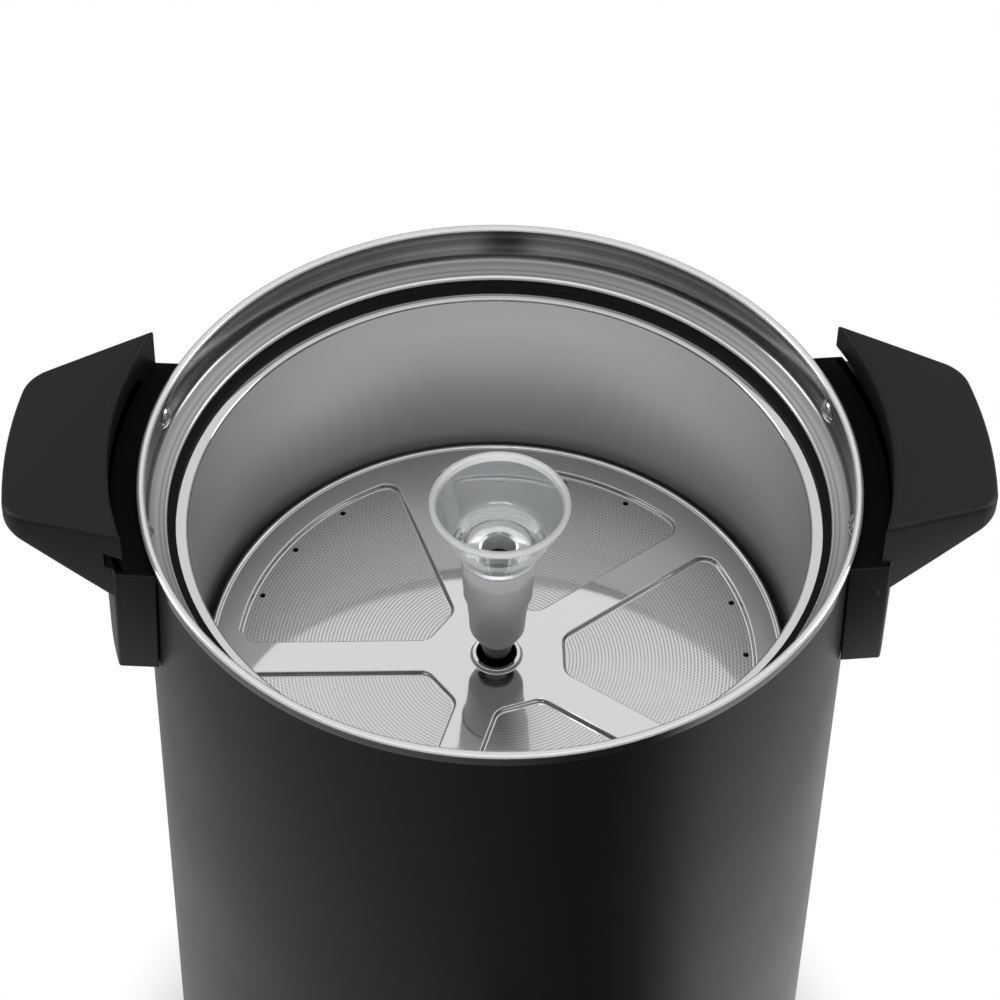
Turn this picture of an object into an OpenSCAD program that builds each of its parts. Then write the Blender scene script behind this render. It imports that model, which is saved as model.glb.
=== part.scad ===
// Percolator urn standing open, with its lid off: black shell, polished rim, tank, brew basket
// with its cover, percolator stem with a clear funnel, two side handles, a tap and a heated base.
// +Z is up. The origin is on the table under the urn's axis, the tap faces -Y and the handles lie along X.

/* [Body] */
// Height from the table to the top of the rim
urn_h = 360; // [345:1:430]
// Sheet thickness of the outer shell
shell_t = 0.8; // [0.5:0.1:1.2]
// Inside diameter of the tank
tank_d = 199.5; // [185:0.5:225]
// Distance from the tank wall to the outside of the rolled rim
rim_w = 15.25; // [14:0.25:18]
// Sheet thickness of the tank
tank_t = 0.8; // [0.5:0.1:1.2]
// Height of the tank floor above the table
floor_z = 78; // [74:1:95]
// Radius of the curve between tank wall and tank floor
tank_corner = 10; // [6:1:14]
// Radius of the curl between tank wall and tank flange
tank_curl = 1.4; // [1:0.1:2.5]

/* [Rim collar] */
// Sheet thickness of the collar
collar_t = 0.8; // [0.5:0.1:1]
// Height of the hem that hooks over the outside of the shell
lip_h = 4.4; // [3:0.1:6]
// Depth of the straight collar wall below the top of the rim
collar_wall_h = 14; // [12.5:0.5:15]
// How far the shoulder edge stands in from the outside of the rim
shoulder_in = 8.8; // [7:0.2:10]
// Depth of the shoulder edge below the top of the rim
shoulder_drop = 17.7; // [16:0.1:20]
// Radius of the folded shoulder edge
hem_r = 1.2; // [1:0.1:1.6]
// Width of the fold under the shoulder edge
hem_w = 4.6; // [3.5:0.1:5]
// Thickness of the tank gasket
gasket_t = 1.8; // [1:0.1:3]
// How far the gasket shows inside the shoulder edge
gasket_show = 2.6; // [1:0.1:4]

/* [Handles] */
// Angle by which the handles sit behind the side-to-side line
handle_back = 4; // [0:0.2:10]
// Reach of the grip outside the rim
grip_reach = 42; // [34:1:55]
// Height of the grip's inner edge above the rim
grip_rise = 11.5; // [8:0.5:18]
// Fall of the grip's top from its inner edge to its outer edge
grip_fall = 8.5; // [6:0.5:12]
// Depth of the grip's underside below the rim at its inner wall
grip_under = 20; // [14:0.5:22]
// Rise of that underside from the inner wall to the outer edge
grip_lift = 15.5; // [8:0.5:16]
// Length of the grip along its inner edge
grip_len_in = 93; // [84:1:100]
// Length of the grip along its outer edge
grip_len_out = 67; // [56:1:76]
// Radius of the grip's outer corners
grip_corner = 11; // [6:1:16]
// Wall thickness of the hollow grip
grip_wall = 3; // [2:0.2:4]
// Radius of the rounded outer edges of the grip
grip_edge_r = 2.4; // [1:0.2:3]
// Gap between the rim and the inner wall of the grip
pocket_w = 8.5; // [6:0.5:10]
// Height of the slot that takes a lid tab
slot_h = 6; // [5:0.5:8]
// Depth of that slot into the grip
slot_depth = 5; // [4.5:0.5:7]
// Length of the foot of the pad, which widens to the grip's length at the rim
pad_len = 82; // [74:1:90]
// Thickness of that pad
pad_t = 12.2; // [10:0.2:14]
// Depth of the foot of the pad below the rim
pad_h = 55; // [48:1:70]
// Diameter of the handle rivets
rivet_d = 4; // [3:0.5:5]
// Diameter of the rivet heads
rivet_head_d = 8; // [6:0.5:9]
// Angle between the two rivets of a handle
rivet_angle = 26; // [20:1:30]
// Depth of the rivets below the rim
rivet_drop = 8; // [7:0.5:8]

/* [Basket and cover] */
// Depth of the cover's top below the rim
cover_drop = 90; // [85:1:100]
// Sheet thickness of the cover and basket
brew_t = 0.8; // [0.6:0.1:1]
// Gap between the cover and the tank wall
cover_gap = 2.8; // [2:0.2:5]
// Width of the flat band round the cover
cover_band = 9.5; // [7:0.5:12]
// Width of the five spokes of the cover
spoke_w = 12.5; // [8:0.5:16]
// Distance of the inner end of the sectors from the axis
sector_in = 22; // [16:1:30]
// Depth of the pressed sectors
sector_depth = 1.6; // [1:0.1:2.5]
// Radius of the sectors' corners
sector_corner = 6; // [3:0.5:9]
// Height of the skirt round the cover
cover_skirt = 6; // [4:0.5:9]
// Depth of the brew basket
basket_h = 63; // [50:1:75]
// Diameter of the drip holes
drip_d = 2.4; // [2:0.2:3]

/* [Stem and funnel] */
// Outside diameter of the percolator stem
stem_d = 10; // [9:0.2:11]
// Wall thickness of the stem
stem_t = 1.2; // [0.8:0.1:1.6]
// Depth of the top of the stem below the rim
stem_drop = 42; // [40:1:48]
// Diameter of the seat on the stem that carries the basket
stem_seat_d = 19; // [17:0.5:22]
// Depth of the funnel's mouth below the rim
funnel_drop = 14.5; // [12:0.5:18]
// Diameter of the funnel's mouth
funnel_d = 46; // [42:1:54]
// Height of the funnel
funnel_h = 65.5; // [62:0.5:70]
// Wall thickness of the clear funnel
funnel_t = 1.6; // [1.2:0.1:2]
// Depth of the bowl of the funnel
bowl_h = 21; // [18:0.5:24]
// Inside radius of the heating well
well_r = 26; // [23:0.5:30]
// Sheet thickness of the heating well
well_t = 1.2; // [0.8:0.1:1.6]
// Depth of the heating well below the tank floor
well_depth = 22; // [20:0.5:24]
// Thickness of the well's gasket
well_gasket_t = 1.5; // [1:0.1:2]
// Lift of the loose pump washer
washer_lift = 3; // [2:0.5:3]

/* [Tap] */
// Radius of the tap's inner seal and nut
tap_seal_r = 14; // [13:0.5:16]
// Diameter of the tap's shank
shank_d = 16; // [14:0.5:18]
// Diameter of the waterway
waterway_d = 11; // [8:0.5:11]
// Thickness of the saddle under the tap's flange
saddle_t = 3; // [2:0.5:5]
// Distance from the saddle to the valve's axis
tap_neck = 24; // [22:1:32]
// Outside radius of the valve chamber
chamber_r = 12.5; // [12:0.5:14]
// Wall thickness of the valve chamber
chamber_t = 3; // [2:0.5:3.5]
// Diameter of the tap's outlet
outlet_d = 12; // [9:0.5:12.5]
// Travel of the valve when the lever is pressed
valve_lift = 4; // [3:0.5:5]
// Angle through which the lever is pressed
lever_angle = 40; // [30:1:45]
// Height of the lever's pin above the bonnet
cam_h = 8; // [7:0.5:9]
// Length of the lever from its pin
lever_len = 46; // [40:1:60]
// Width of the lever
lever_w = 15; // [12:1:20]

/* [Base] */
// Height of the top of the base moulding above the table
base_h = 44; // [42:1:50]
// Height of the feet
foot_h = 8; // [7:0.5:12]
// Diameter of the feet
foot_d = 20; // [14:1:26]
// How far the base moulding stands outside the shell
base_lip = 2.5; // [2:0.1:5]
// Depth of the shell inside the base moulding
base_overlap = 8; // [4:0.5:10]
// How far the switch and inlet panels stand out of the base
panel_proud = 3; // [2.5:0.5:6]
// Height of the middle of the panels
panel_z = 25; // [24.5:0.5:27]
// Width of the switch
switch_w = 21; // [19:0.5:24]
// Height of the switch
switch_h = 15; // [13:0.5:17]
// Angle through which the switch rocks
rocker_angle = 16; // [10:1:18]
// Distance of the switch and the light from the middle of the panel
control_x = 16; // [15:0.5:20]
// Diameter of the ready light
lens_d = 10; // [8:0.5:12]
// Width of the power inlet
inlet_w = 26; // [24:0.5:30]
// Height of the power inlet
inlet_h = 18; // [16:0.5:20]
// Diameter of the inlet's pins
inlet_pin_d = 4.8; // [4:0.2:5]

/* [Hidden] */
$fn = 96;

// Clearances
fit = 0.1;
slip = 0.3;
run_fit = 0.05;
over = 1;

// Colours
BLACK_COAT = [0.10, 0.10, 0.10];
BLACK_PLASTIC = [0.18, 0.18, 0.18];
POLISHED = [0.85, 0.85, 0.86];
SATIN = [0.66, 0.66, 0.67];
RUBBER = [0.05, 0.05, 0.05];
SILICONE = [0.75, 0.72, 0.68];
COPPER = [0.72, 0.45, 0.28];
CERAMIC = [0.86, 0.83, 0.76];
CLEAR = [0.85, 0.92, 0.95, 0.4];
AMBER = [0.95, 0.55, 0.12];

// Rim stack
tank_r = tank_d/2;
rim_r = tank_r + rim_w;
lip_w = 2*collar_t + shell_t + 2*fit;
shell_r = rim_r - collar_t - fit;
shell_in = shell_r - shell_t;
wall_r = rim_r - lip_w;
shoulder_r = rim_r - shoulder_in;
hem_z = urn_h - shoulder_drop;
flange_z = hem_z - hem_r - gasket_t;
flange_r = shoulder_r + hem_w;

// Tank and well
tank_under = floor_z - tank_t;
well_or = well_r + well_t;
well_hole = well_or + slip;
well_flange = well_r + 8;
well_floor = floor_z - well_depth;
well_nut_h = 8;
well_nut_r = well_or + 9;
heater_w = 10;
studs_r = well_nut_r + 11;
post_r = 5;
warm_in = studs_r + 11;
warm_out = tank_r - tank_corner - 5;
warm_t = 3;

// Base
base_r = shell_r + base_lip;
seat_z = base_h - base_overlap;
base_z0 = foot_h - 2;
plate_t = 1.5;
plate_top = foot_h + plate_t;
base_wall = 6;
base_in = base_r - base_wall;
ledge_t = 4.5;
ledge_w = 9.5;
ledge_r = base_in - ledge_w;
plate_r = base_in - 2;
screw_r = ledge_r + 3.8;
screw_d = 3.5;
screw_head_d = 2*screw_d;
screw_head_h = 2.2;
base_screw_head = 1.8;
foot_ring = plate_r - foot_d;
peg_r = 3.4;
panel_y = base_r + panel_proud;
panel_zh = 12.5;
panel_back = base_in - 20;
bezel_t = 1.6;
bezel_w = 1;
switch_wall = 1;
switch_depth = 16;
rocker_depth = 9;
pivot_v = -2.5;
pivot_r = 1.2;
lens_flange = 1.5;
lamp_l = 16;
inlet_flange = 2;
inlet_depth = 22;
inlet_wall = 2;
inlet_floor = 5;
pin_gap = 11;

// Tap
tap_z = floor_z + tank_corner + tap_seal_r + 2;
shank_r = shank_d/2;
saddle_r = 16;
saddle_y = shell_r + saddle_t;
tap_flange_t = 4;
tap_y = saddle_y + tap_neck;
neck_r = 9.5;
seal_t = 3.2;
nut_y = tank_r - seal_t;
nut_t = 7;
shank_end = nut_y - nut_t - 4;
valve_in = chamber_r - chamber_t;
outlet_r = outlet_d/2;
valve_seat_z = tap_z - 14;
nozzle_z = tap_z - 34;
nozzle_r = outlet_r + 2.4;
nozzle_taper = 1.6;
seat_t = 6;
chamber_top = tap_z + 18;
bonnet_t = 3;
bonnet_top = chamber_top + bonnet_t;
bonnet_wall = 2.4;
bonnet_r = chamber_r + fit + bonnet_wall;
bonnet_skirt = bonnet_top - tap_z - neck_r - over;
pin_z = bonnet_top + cam_h;
rod_r = 3;
rod_flat = 2;
rod_top = pin_z + 4;
rod_flange_r = 7.5;
seal_cup_h = 6;
rod_foot = valve_seat_z + 3;
rod_flange_z = valve_seat_z + seal_cup_h;
rod_flange_t = 2;
pin_r = 1.3;
spring_wire = 0.6;
spring_r = 5.6;
spring_turns = 6;
spring_z0 = rod_flange_z + rod_flange_t + spring_wire + fit;
spring_z1 = chamber_top - spring_wire - fit;

// Brewing set
cover_z = urn_h - cover_drop;
cover_r = tank_r - cover_gap;
basket_rim_w = 1.6;
basket_corner = 6;
basket_curl = 1.2;
tube_drop = 8;
drip_rows = 4;
drip_in = 12;
collar_w = 1.8;
collar_h = 1.5;
vent_in = 3.5;
vent_angle = 16;
basket_rim_z = cover_z - brew_t;
basket_r = cover_r - brew_t - 2*slip - basket_rim_w;
basket_z = basket_rim_z - basket_h;
stem_r = stem_d/2;
stem_bore = stem_r - stem_t;
stop_r = stem_r + 1.2;
tube_in = stop_r + 2*slip;
funnel_top = urn_h - funnel_drop;
funnel_z = funnel_top - funnel_h;
foot_top = well_floor + well_depth + 8;
foot_r = well_r - 4*slip;
foot_bevel = 4;
skirt_t = 1.5;
hub_r = stem_r + 3.2;
cone_h = 18;
pump_inlet_r = 4;
foot_slot_w = 8;
foot_slot_h = 3;
pump_chamber_r = 8.2;
pump_plate = 6.5;
chamber_roof = 1;
washer_r = 7.4;
washer_t = 1.2;
stem_z = well_floor + pump_plate + washer_t + washer_lift + slip + chamber_roof;
stem_top = urn_h - stem_drop;

// Handle
grip_r = rim_r + grip_reach;
pocket_r = rim_r + pocket_w;
pad_r0 = shell_r + slip;
pad_r1 = pad_r0 + pad_t;
pocket_z = urn_h - lip_h - fit;
slot_r = pocket_r + slot_depth;
cavity_r = slot_r + grip_wall;
pad_angle = asin(grip_len_in/2/pad_r1);
grip_span = 32;
slot_close = 4;
pad_bevel = 2;
screw_drop = pad_h - 9;
rivet_l = 0.75*pad_t;
rivet_head_h = 1.6;
head_gap = 0.2;

// Leads inside the base, each ending just short of its terminals
lead_r = 1.2;
lead_sides = 8;
lead_stub = 6;
inlet_back = panel_y - inlet_depth - slip;
switch_back = panel_y - switch_depth - slip;
heater_under = well_floor - well_t - slip;
heater_mid = well_or + heater_w/2;
stat_angle = 210;
stat_h = 14;
stat_x = studs_r*cos(stat_angle);
stat_y = studs_r*sin(stat_angle);
stat_under = tank_under - stat_h - slip;
element_x = -control_x - 5;
live_route = [
    [-pin_gap/2, inlet_back, panel_z], [-pin_gap/2, inlet_back - lead_stub, panel_z],
    [-12, 84, panel_z], [-28, 74, 24], [-52, 58, 23], [-70, 34, 22], [-77, 0, 22],
    [-72, -34, 22], [-54, -62, 21], [-36, -79, 20], [-23, -88, 19], [-control_x - 1, -92, 21],
    [-control_x, lead_stub - switch_back, panel_z], [-control_x, -switch_back, panel_z]
];
neutral_route = [
    [pin_gap/2, inlet_back, panel_z], [pin_gap/2, inlet_back - lead_stub, panel_z],
    [10, 82, 26], [18, 68, 29], [26, 52, 33], [31, 36, 38], [heater_mid + 0.5, 22, 43],
    [heater_mid, 8, heater_under - 5], [heater_mid, 4, heater_under - 3], [heater_mid, 4, heater_under]
];
element_route = [
    [element_x, -switch_back, panel_z], [element_x, lead_stub - switch_back, panel_z],
    [-24, -90, 26], [-31, -76, 30], [-37, -60, 36], [-41, -44, 43],
    [stat_x - 0.5, stat_y - 8, stat_under - 13], [stat_x, stat_y - 0.5, stat_under - 7],
    [stat_x, stat_y, stat_under]
];

// Points of a round stretch of an outline
function arc(c, r, a0, a1, n = 8) =
    [for (i = [0:n]) let (a = a0 + (a1 - a0)*i/n) c + r*[cos(a), sin(a)]];

// Outline of a sheet of thickness t that lies on the left of a path
function unit(v) = v/norm(v);
function left_of(v) = [-v.y, v.x];
function step_dir(p, i) = unit(p[min(i + 1, len(p) - 1)] - p[min(i, len(p) - 2)]);
function mitre(p, i) =
    let (b = left_of(step_dir(p, i)), a = i > 0 ? left_of(step_dir(p, i - 1)) : b) (a + b)/(1 + a*b);
function sheet(p, t) = concat(p, [for (i = [len(p) - 1:-1:0]) p[i] + t*mitre(p, i)]);

// Frames that turn as little as they can along a route
function route_dir(p, i) = unit(p[min(i + 1, len(p) - 1)] - p[max(i - 1, 0)]);
function square_to(n, t) = unit(n - (n*t)*t);
function route_normals(p) = [
    for (i = 0, n = square_to([0.31, 0.17, 0.93], route_dir(p, 0)); i < len(p);
        i = i + 1, n = square_to(n, route_dir(p, min(i, len(p) - 1)))) n
];

module lathe(points) {
    rotate_extrude($fn = 180) polygon(points);
}

// A round wire along a route
module wire(route, r, sides) {
    normals = route_normals(route);
    last = len(route) - 1;
    points = [
        for (i = [0:last], j = [0:sides - 1])
            let (n = normals[i], b = cross(route_dir(route, i), n), a = 360*j/sides)
                route[i] + r*(cos(a)*n + sin(a)*b)
    ];
    walls = [
        for (i = [0:last - 1], j = [0:sides - 1], half = [0, 1])
            let (k = (j + 1)%sides, a = i*sides, b = a + sides)
                half == 0 ? [a + j, b + k, a + k] : [a + j, b + j, b + k]
    ];
    ends = [
        for (j = [1:sides - 2], far = [0, 1])
            far == 0 ? [0, j, j + 1] : [last*sides, last*sides + j + 1, last*sides + j]
    ];
    polyhedron(points, concat(walls, ends));
}

// A cylinder that lies along -Y from the urn's axis, between two distances
module toward_front(r, y0, y1, z) {
    translate([0, -y0, z]) rotate([90, 0, 0]) cylinder(r = r, h = y1 - y0);
}

// A box that stands on a panel face: x and z centred, v measured outwards from the face
module on_panel(side, x, w, h, v0, v1) {
    y0 = side*(panel_y + v0);
    y1 = side*(panel_y + v1);
    translate([x - w/2, min(y0, y1), panel_z - h/2]) cube([w, v1 - v0, h]);
}

// A cylinder that stands on a panel face
module pin_on_panel(side, x, r, v0, v1) {
    translate([x, side*(panel_y + v0), panel_z]) rotate([-side*90, 0, 0]) cylinder(r = r, h = v1 - v0);
}

// Copies at the rivets of both handles
module at_rivets() {
    for (base = [handle_back, 180 - handle_back], side = [-1, 1])
        rotate([0, 0, base + side*rivet_angle/2])
            translate([0, 0, urn_h - rivet_drop]) rotate([0, 90, 0]) children();
}

// Copies at the lower screws of both handles
module at_screws() {
    for (base = [handle_back, 180 - handle_back])
        rotate([0, 0, base]) translate([0, 0, urn_h - screw_drop]) rotate([0, 90, 0]) children();
}

module outer_shell() {
    color(BLACK_COAT)
        difference() {
            lathe([
                [shell_in, seat_z], [shell_r, seat_z],
                [shell_r, urn_h - lip_w/2], [shell_in, urn_h - lip_w/2]
            ]);
            at_rivets() translate([0, 0, shell_in - over])
                cylinder(d = rivet_d + 2*fit, h = shell_t + 2*over);
            at_screws() translate([0, 0, shell_in - over])
                cylinder(d = screw_d + 2*fit, h = shell_t + 2*over);
            toward_front(shank_r + slip, shell_in - 2*over, shell_r + over, tap_z);
        }
}

module rim_collar() {
    path = concat(
        [[rim_r, urn_h - lip_h]],
        arc([rim_r - lip_w/2, urn_h - lip_w/2], lip_w/2, 0, 180),
        [[wall_r, urn_h - collar_wall_h]],
        arc([shoulder_r + hem_r, hem_z], hem_r, 120, 270),
        [[shoulder_r + hem_w, hem_z - hem_r]]
    );
    color(POLISHED)
        difference() {
            lathe(sheet(path, collar_t));
            at_rivets() translate([0, 0, wall_r - over]) cylinder(d = rivet_d + 2*fit, h = collar_t + 2*over);
        }
}

module tank_gasket() {
    color(RUBBER)
        lathe([
            [shoulder_r - gasket_show, flange_z], [flange_r - 0.5, flange_z],
            [flange_r - 0.5, flange_z + gasket_t], [shoulder_r - gasket_show, flange_z + gasket_t]
        ]);
}

module inner_tank() {
    path = concat(
        [[flange_r, flange_z]],
        arc([tank_r + tank_curl, flange_z - tank_curl], tank_curl, 90, 180, 5),
        arc([tank_r - tank_corner, floor_z + tank_corner], tank_corner, 0, -90, 10),
        [[well_hole, floor_z]]
    );
    color(SATIN)
        difference() {
            lathe(sheet(path, tank_t));
            toward_front(shank_r + slip, tank_r - 2*over, tank_r + tank_t + over, tap_z);
        }
}

// Outline of the grip from above, with x pointing away from the urn
function grip_half() =
    let (
        corner = min(grip_corner, grip_len_out/2 - 1),
        tilt = asin((grip_len_out/2 - corner)/(grip_r - corner)),
        c = (grip_r - corner)*[cos(tilt), sin(tilt)],
        side = 90 - atan2(grip_len_in - grip_len_out, 2*grip_reach)
    )
    concat(
        [[pad_r0 - 2*over, grip_len_in/2]],
        arc(c, corner, side, tilt + 4),
        [[grip_r + over, (c + corner*[cos(tilt + 4), sin(tilt + 4)]).y]]
    );

// The grip's shape shrunk by an inset, as a turned section cut to the outline from above
module grip_block(inset, r0, drop) {
    fall = grip_fall/(grip_r - pocket_r);
    lift = grip_lift/(grip_r - pocket_r);
    outer = grip_r - inset;
    edge = max(grip_edge_r - inset, 0.5);
    top_in = urn_h + grip_rise - inset - fall*(r0 - pocket_r);
    top_out = urn_h + grip_rise - inset - fall*(outer - pocket_r);
    under_in = urn_h - grip_under - drop + lift*(r0 - pocket_r);
    under_out = urn_h - grip_under - drop + lift*(outer - pocket_r);
    half = grip_half();
    shrunk = [for (p = half) [p.x, p.y - inset]];
    outline = concat(shrunk, [for (i = [len(shrunk) - 1:-1:0]) [shrunk[i].x, -shrunk[i].y]]);
    intersection() {
        rotate([0, 0, -grip_span]) rotate_extrude(angle = 2*grip_span, $fn = 180)
            polygon(concat(
                [[r0, under_in]],
                arc([outer - edge, under_out + edge/2], edge, -70, 0, 4),
                arc([outer - edge, top_out - edge/2], edge, 10, 75, 4),
                [[r0 + edge/2, top_in], [r0, top_in - edge/2]]
            ));
        translate([0, 0, urn_h - pad_h]) linear_extrude(pad_h + grip_rise + over) polygon(outline);
    }
}

// The pad on the shell, a turned section cut to a shape that narrows towards its foot
module pad() {
    foot_z = urn_h - pad_h;
    intersection() {
        rotate([0, 0, -grip_span]) rotate_extrude(angle = 2*grip_span, $fn = 180)
            polygon([
                [pad_r0, foot_z], [pad_r1 - pad_bevel, foot_z], [pad_r1, foot_z + pad_bevel],
                [pad_r1, pocket_z], [pad_r0, pocket_z]
            ]);
        rotate([90, 0, 90]) linear_extrude(grip_r)
            polygon([
                [-pad_len/2, foot_z], [pad_len/2, foot_z],
                [grip_len_in/2, pocket_z], [-grip_len_in/2, pocket_z]
            ]);
    }
}

// Both handles are this moulding, turned half a turn from each other
module handle() {
    slot_top = pocket_z + slot_h;
    color(BLACK_PLASTIC)
        difference() {
            union() {
                grip_block(0, pocket_r, 0);
                pad();
            }
            grip_block(grip_wall, cavity_r, grip_rise);
            rotate([0, 0, slot_close - pad_angle])
                rotate_extrude(angle = grip_span + pad_angle - slot_close, $fn = 180)
                polygon([
                    [pocket_r - over, pocket_z], [slot_r, pocket_z],
                    [slot_r, slot_top], [pocket_r - over, slot_top]
                ]);
            for (side = [-1, 1])
                rotate([0, 0, side*rivet_angle/2]) translate([pad_r0 - over, 0, urn_h - rivet_drop])
                    rotate([0, 90, 0]) cylinder(d = rivet_d + 2*fit, h = rivet_l + over);
            translate([pad_r0 - over, 0, urn_h - screw_drop])
                rotate([0, 90, 0]) cylinder(d = screw_d + 2*fit, h = rivet_l + over);
        }
}

module handle_right() {
    rotate([0, 0, handle_back]) handle();
}

module handle_left() {
    rotate([0, 0, 180 - handle_back]) handle();
}

// A dome-headed fastener along +Z whose head bears on z = 0 from below
module dome_fastener(d, head_d, head_h, l) {
    ball_r = (head_d*head_d/4 + head_h*head_h)/(2*head_h);
    rim_angle = asin(head_d/2/ball_r);
    rotate_extrude()
        polygon(concat(
            arc([0, ball_r - head_h], ball_r, -90, rim_angle - 90, 5),
            [[d/2, 0], [d/2, l], [0, l]]
        ));
}

module handle_rivets() {
    color(POLISHED)
        at_rivets() translate([0, 0, wall_r - head_gap])
            dome_fastener(rivet_d, rivet_head_d, rivet_head_h, pad_r0 + rivet_l - wall_r - fit);
}

module handle_screws() {
    color(SATIN)
        at_screws() translate([0, 0, shell_in - head_gap])
            dome_fastener(screw_d, screw_head_d, screw_head_h, pad_r0 + rivet_l - shell_in - fit);
}

module heat_well() {
    top = floor_z + well_gasket_t + well_t;
    path = concat(
        [[well_flange, top]],
        arc([well_r + 2, top - 2], 2, 90, 180, 4),
        arc([well_r - 4, well_floor + 4], 4, 0, -90, 5),
        [[0, well_floor]]
    );
    color(SATIN) lathe(sheet(path, well_t));
}

module well_gasket() {
    color(SILICONE)
        lathe([
            [well_hole + 1, floor_z], [well_flange - 0.5, floor_z],
            [well_flange - 0.5, floor_z + well_gasket_t], [well_hole + 1, floor_z + well_gasket_t]
        ]);
}

module well_nut() {
    color(SATIN)
        translate([0, 0, tank_under - well_nut_h])
            difference() {
                cylinder(r = well_nut_r, h = well_nut_h, $fn = 6);
                translate([0, 0, -over]) cylinder(r = well_or + fit, h = well_nut_h + 2*over);
            }
}

module perk_heater() {
    bottom = well_floor - well_t;
    color(COPPER)
        lathe([
            [well_or + fit, bottom], [well_or + heater_w - 1, bottom], [well_or + heater_w, bottom + 1],
            [well_or + heater_w, tank_under - well_nut_h - 1],
            [well_or + heater_w - 1, tank_under - well_nut_h],
            [well_or + fit, tank_under - well_nut_h]
        ]);
}

module warm_heater() {
    color(COPPER)
        lathe([
            [warm_in, tank_under - warm_t], [warm_out, tank_under - warm_t],
            [warm_out, tank_under], [warm_in, tank_under]
        ]);
}

// Pieces on the ring round the well nut: posts at 30, 150 and 270 degrees, sensors between them
module on_stud_ring(angle) {
    rotate([0, 0, angle]) translate([studs_r, 0, 0]) children();
}

module sensor(r, h) {
    translate([0, 0, tank_under - 4]) cylinder(r = r, h = 4);
    translate([0, 0, tank_under - h]) cylinder(r = r - 1.5, h = h - 4);
}

module thermostat() {
    color(CERAMIC) on_stud_ring(stat_angle) sensor(9, stat_h);
}

module thermal_cutout() {
    color(CERAMIC) on_stud_ring(330) sensor(7, 11);
}

module tank_posts() {
    color(SATIN)
        for (angle = [30, 150, 270])
            on_stud_ring(angle) translate([0, 0, plate_top]) cylinder(r = post_r, h = tank_under - plate_top);
}

module base_ring() {
    ledge_z = plate_top;
    color(BLACK_PLASTIC)
        difference() {
            union() {
                lathe([
                    [plate_r + slip, base_z0], [base_r - 2, base_z0], [base_r, base_z0 + 2],
                    [base_r, base_h - 1], [base_r - 1, base_h], [shell_r + fit, base_h],
                    [shell_r + fit, seat_z], [base_in, seat_z], [base_in, ledge_z + ledge_t],
                    [ledge_r, ledge_z + ledge_t], [ledge_r, ledge_z], [plate_r + slip, ledge_z]
                ]);
                for (side = [-1, 1])
                    difference() {
                        on_panel(side, 0, side < 0 ? 2*control_x + switch_w + 8 : inlet_w + 14, 2*panel_zh,
                            -panel_proud - base_wall, 0);
                        cylinder(r = base_r - over, h = base_h);
                    }
            }
            on_panel(-1, -control_x, switch_w - 2*bezel_w + 2*fit, switch_h - 2*bezel_w + 2*fit,
                -switch_depth - 2, over);
            pin_on_panel(-1, control_x, lens_d/2 + fit, -switch_depth - 2, over);
            on_panel(1, 0, inlet_w + 2*fit, inlet_h + 2*fit, -inlet_depth, over);
            at_base_screws() translate([0, 0, plate_top - over]) cylinder(d = screw_d + 2*fit, h = ledge_t);
        }
}

module at_base_screws() {
    for (angle = [45:90:315]) rotate([0, 0, angle]) translate([screw_r, 0, 0]) children();
}

module at_feet() {
    for (angle = [45:90:315]) rotate([0, 0, angle]) translate([foot_ring, 0, 0]) children();
}

module base_plate() {
    vent_w = 4;
    vent_l = 26;
    color(BLACK_COAT)
        difference() {
            translate([0, 0, foot_h]) cylinder(r = plate_r, h = plate_t, $fn = 180);
            at_base_screws() translate([0, 0, foot_h - over])
                cylinder(d = screw_d + 2*fit, h = plate_t + 2*over);
            at_feet() translate([0, 0, foot_h - over]) cylinder(r = peg_r + fit, h = plate_t + 2*over);
            for (angle = [0:45:315])
                rotate([0, 0, angle + 22.5]) translate([studs_r + 10, -vent_w/2, foot_h - over])
                    cube([vent_l, vent_w, plate_t + 2*over]);
        }
}

module base_screws() {
    color(SATIN)
        at_base_screws() translate([0, 0, foot_h])
            dome_fastener(screw_d, screw_head_d, base_screw_head, plate_t + ledge_t - screw_d/2);
}

module feet() {
    color(RUBBER)
        at_feet() rotate_extrude()
            polygon([
                [0, 0], [foot_d/2 - 1.5, 0], [foot_d/2, 1.5], [foot_d/2 - 1, foot_h],
                [peg_r, foot_h], [peg_r, plate_top + 2], [peg_r - 1, plate_top + 3], [0, plate_top + 3]
            ]);
}

module power_inlet() {
    color(BLACK_PLASTIC)
        difference() {
            union() {
                on_panel(1, 0, inlet_w + 5, inlet_h + 5, 0, inlet_flange);
                on_panel(1, 0, inlet_w, inlet_h, -inlet_depth, inlet_flange/2);
            }
            on_panel(1, 0, inlet_w - 2*inlet_wall, inlet_h - 2*inlet_wall,
                inlet_floor - inlet_depth, inlet_flange + over);
            for (side = [-1, 1])
                pin_on_panel(1, side*pin_gap/2, inlet_pin_d/2 + run_fit, -inlet_depth - over, inlet_floor);
        }
}

module inlet_pins() {
    color(SATIN)
        for (side = [-1, 1])
            pin_on_panel(1, side*pin_gap/2, inlet_pin_d/2, -inlet_depth, -3);
}

module switch_housing() {
    body_w = switch_w - 2*bezel_w;
    body_h = switch_h - 2*bezel_w;
    color(BLACK_PLASTIC)
        difference() {
            union() {
                on_panel(-1, -control_x, switch_w, switch_h, 0, bezel_t);
                on_panel(-1, -control_x, body_w, body_h, -switch_depth, bezel_t/2);
            }
            on_panel(
                -1, -control_x, body_w - 2*switch_wall, body_h - 2*switch_wall,
                -rocker_depth, bezel_t + over);
            translate([-control_x, -panel_y - pivot_v, panel_z - body_h/2 + switch_wall/3])
                cylinder(r = pivot_r + run_fit, h = body_h - 2*switch_wall/3);
        }
}

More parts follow.
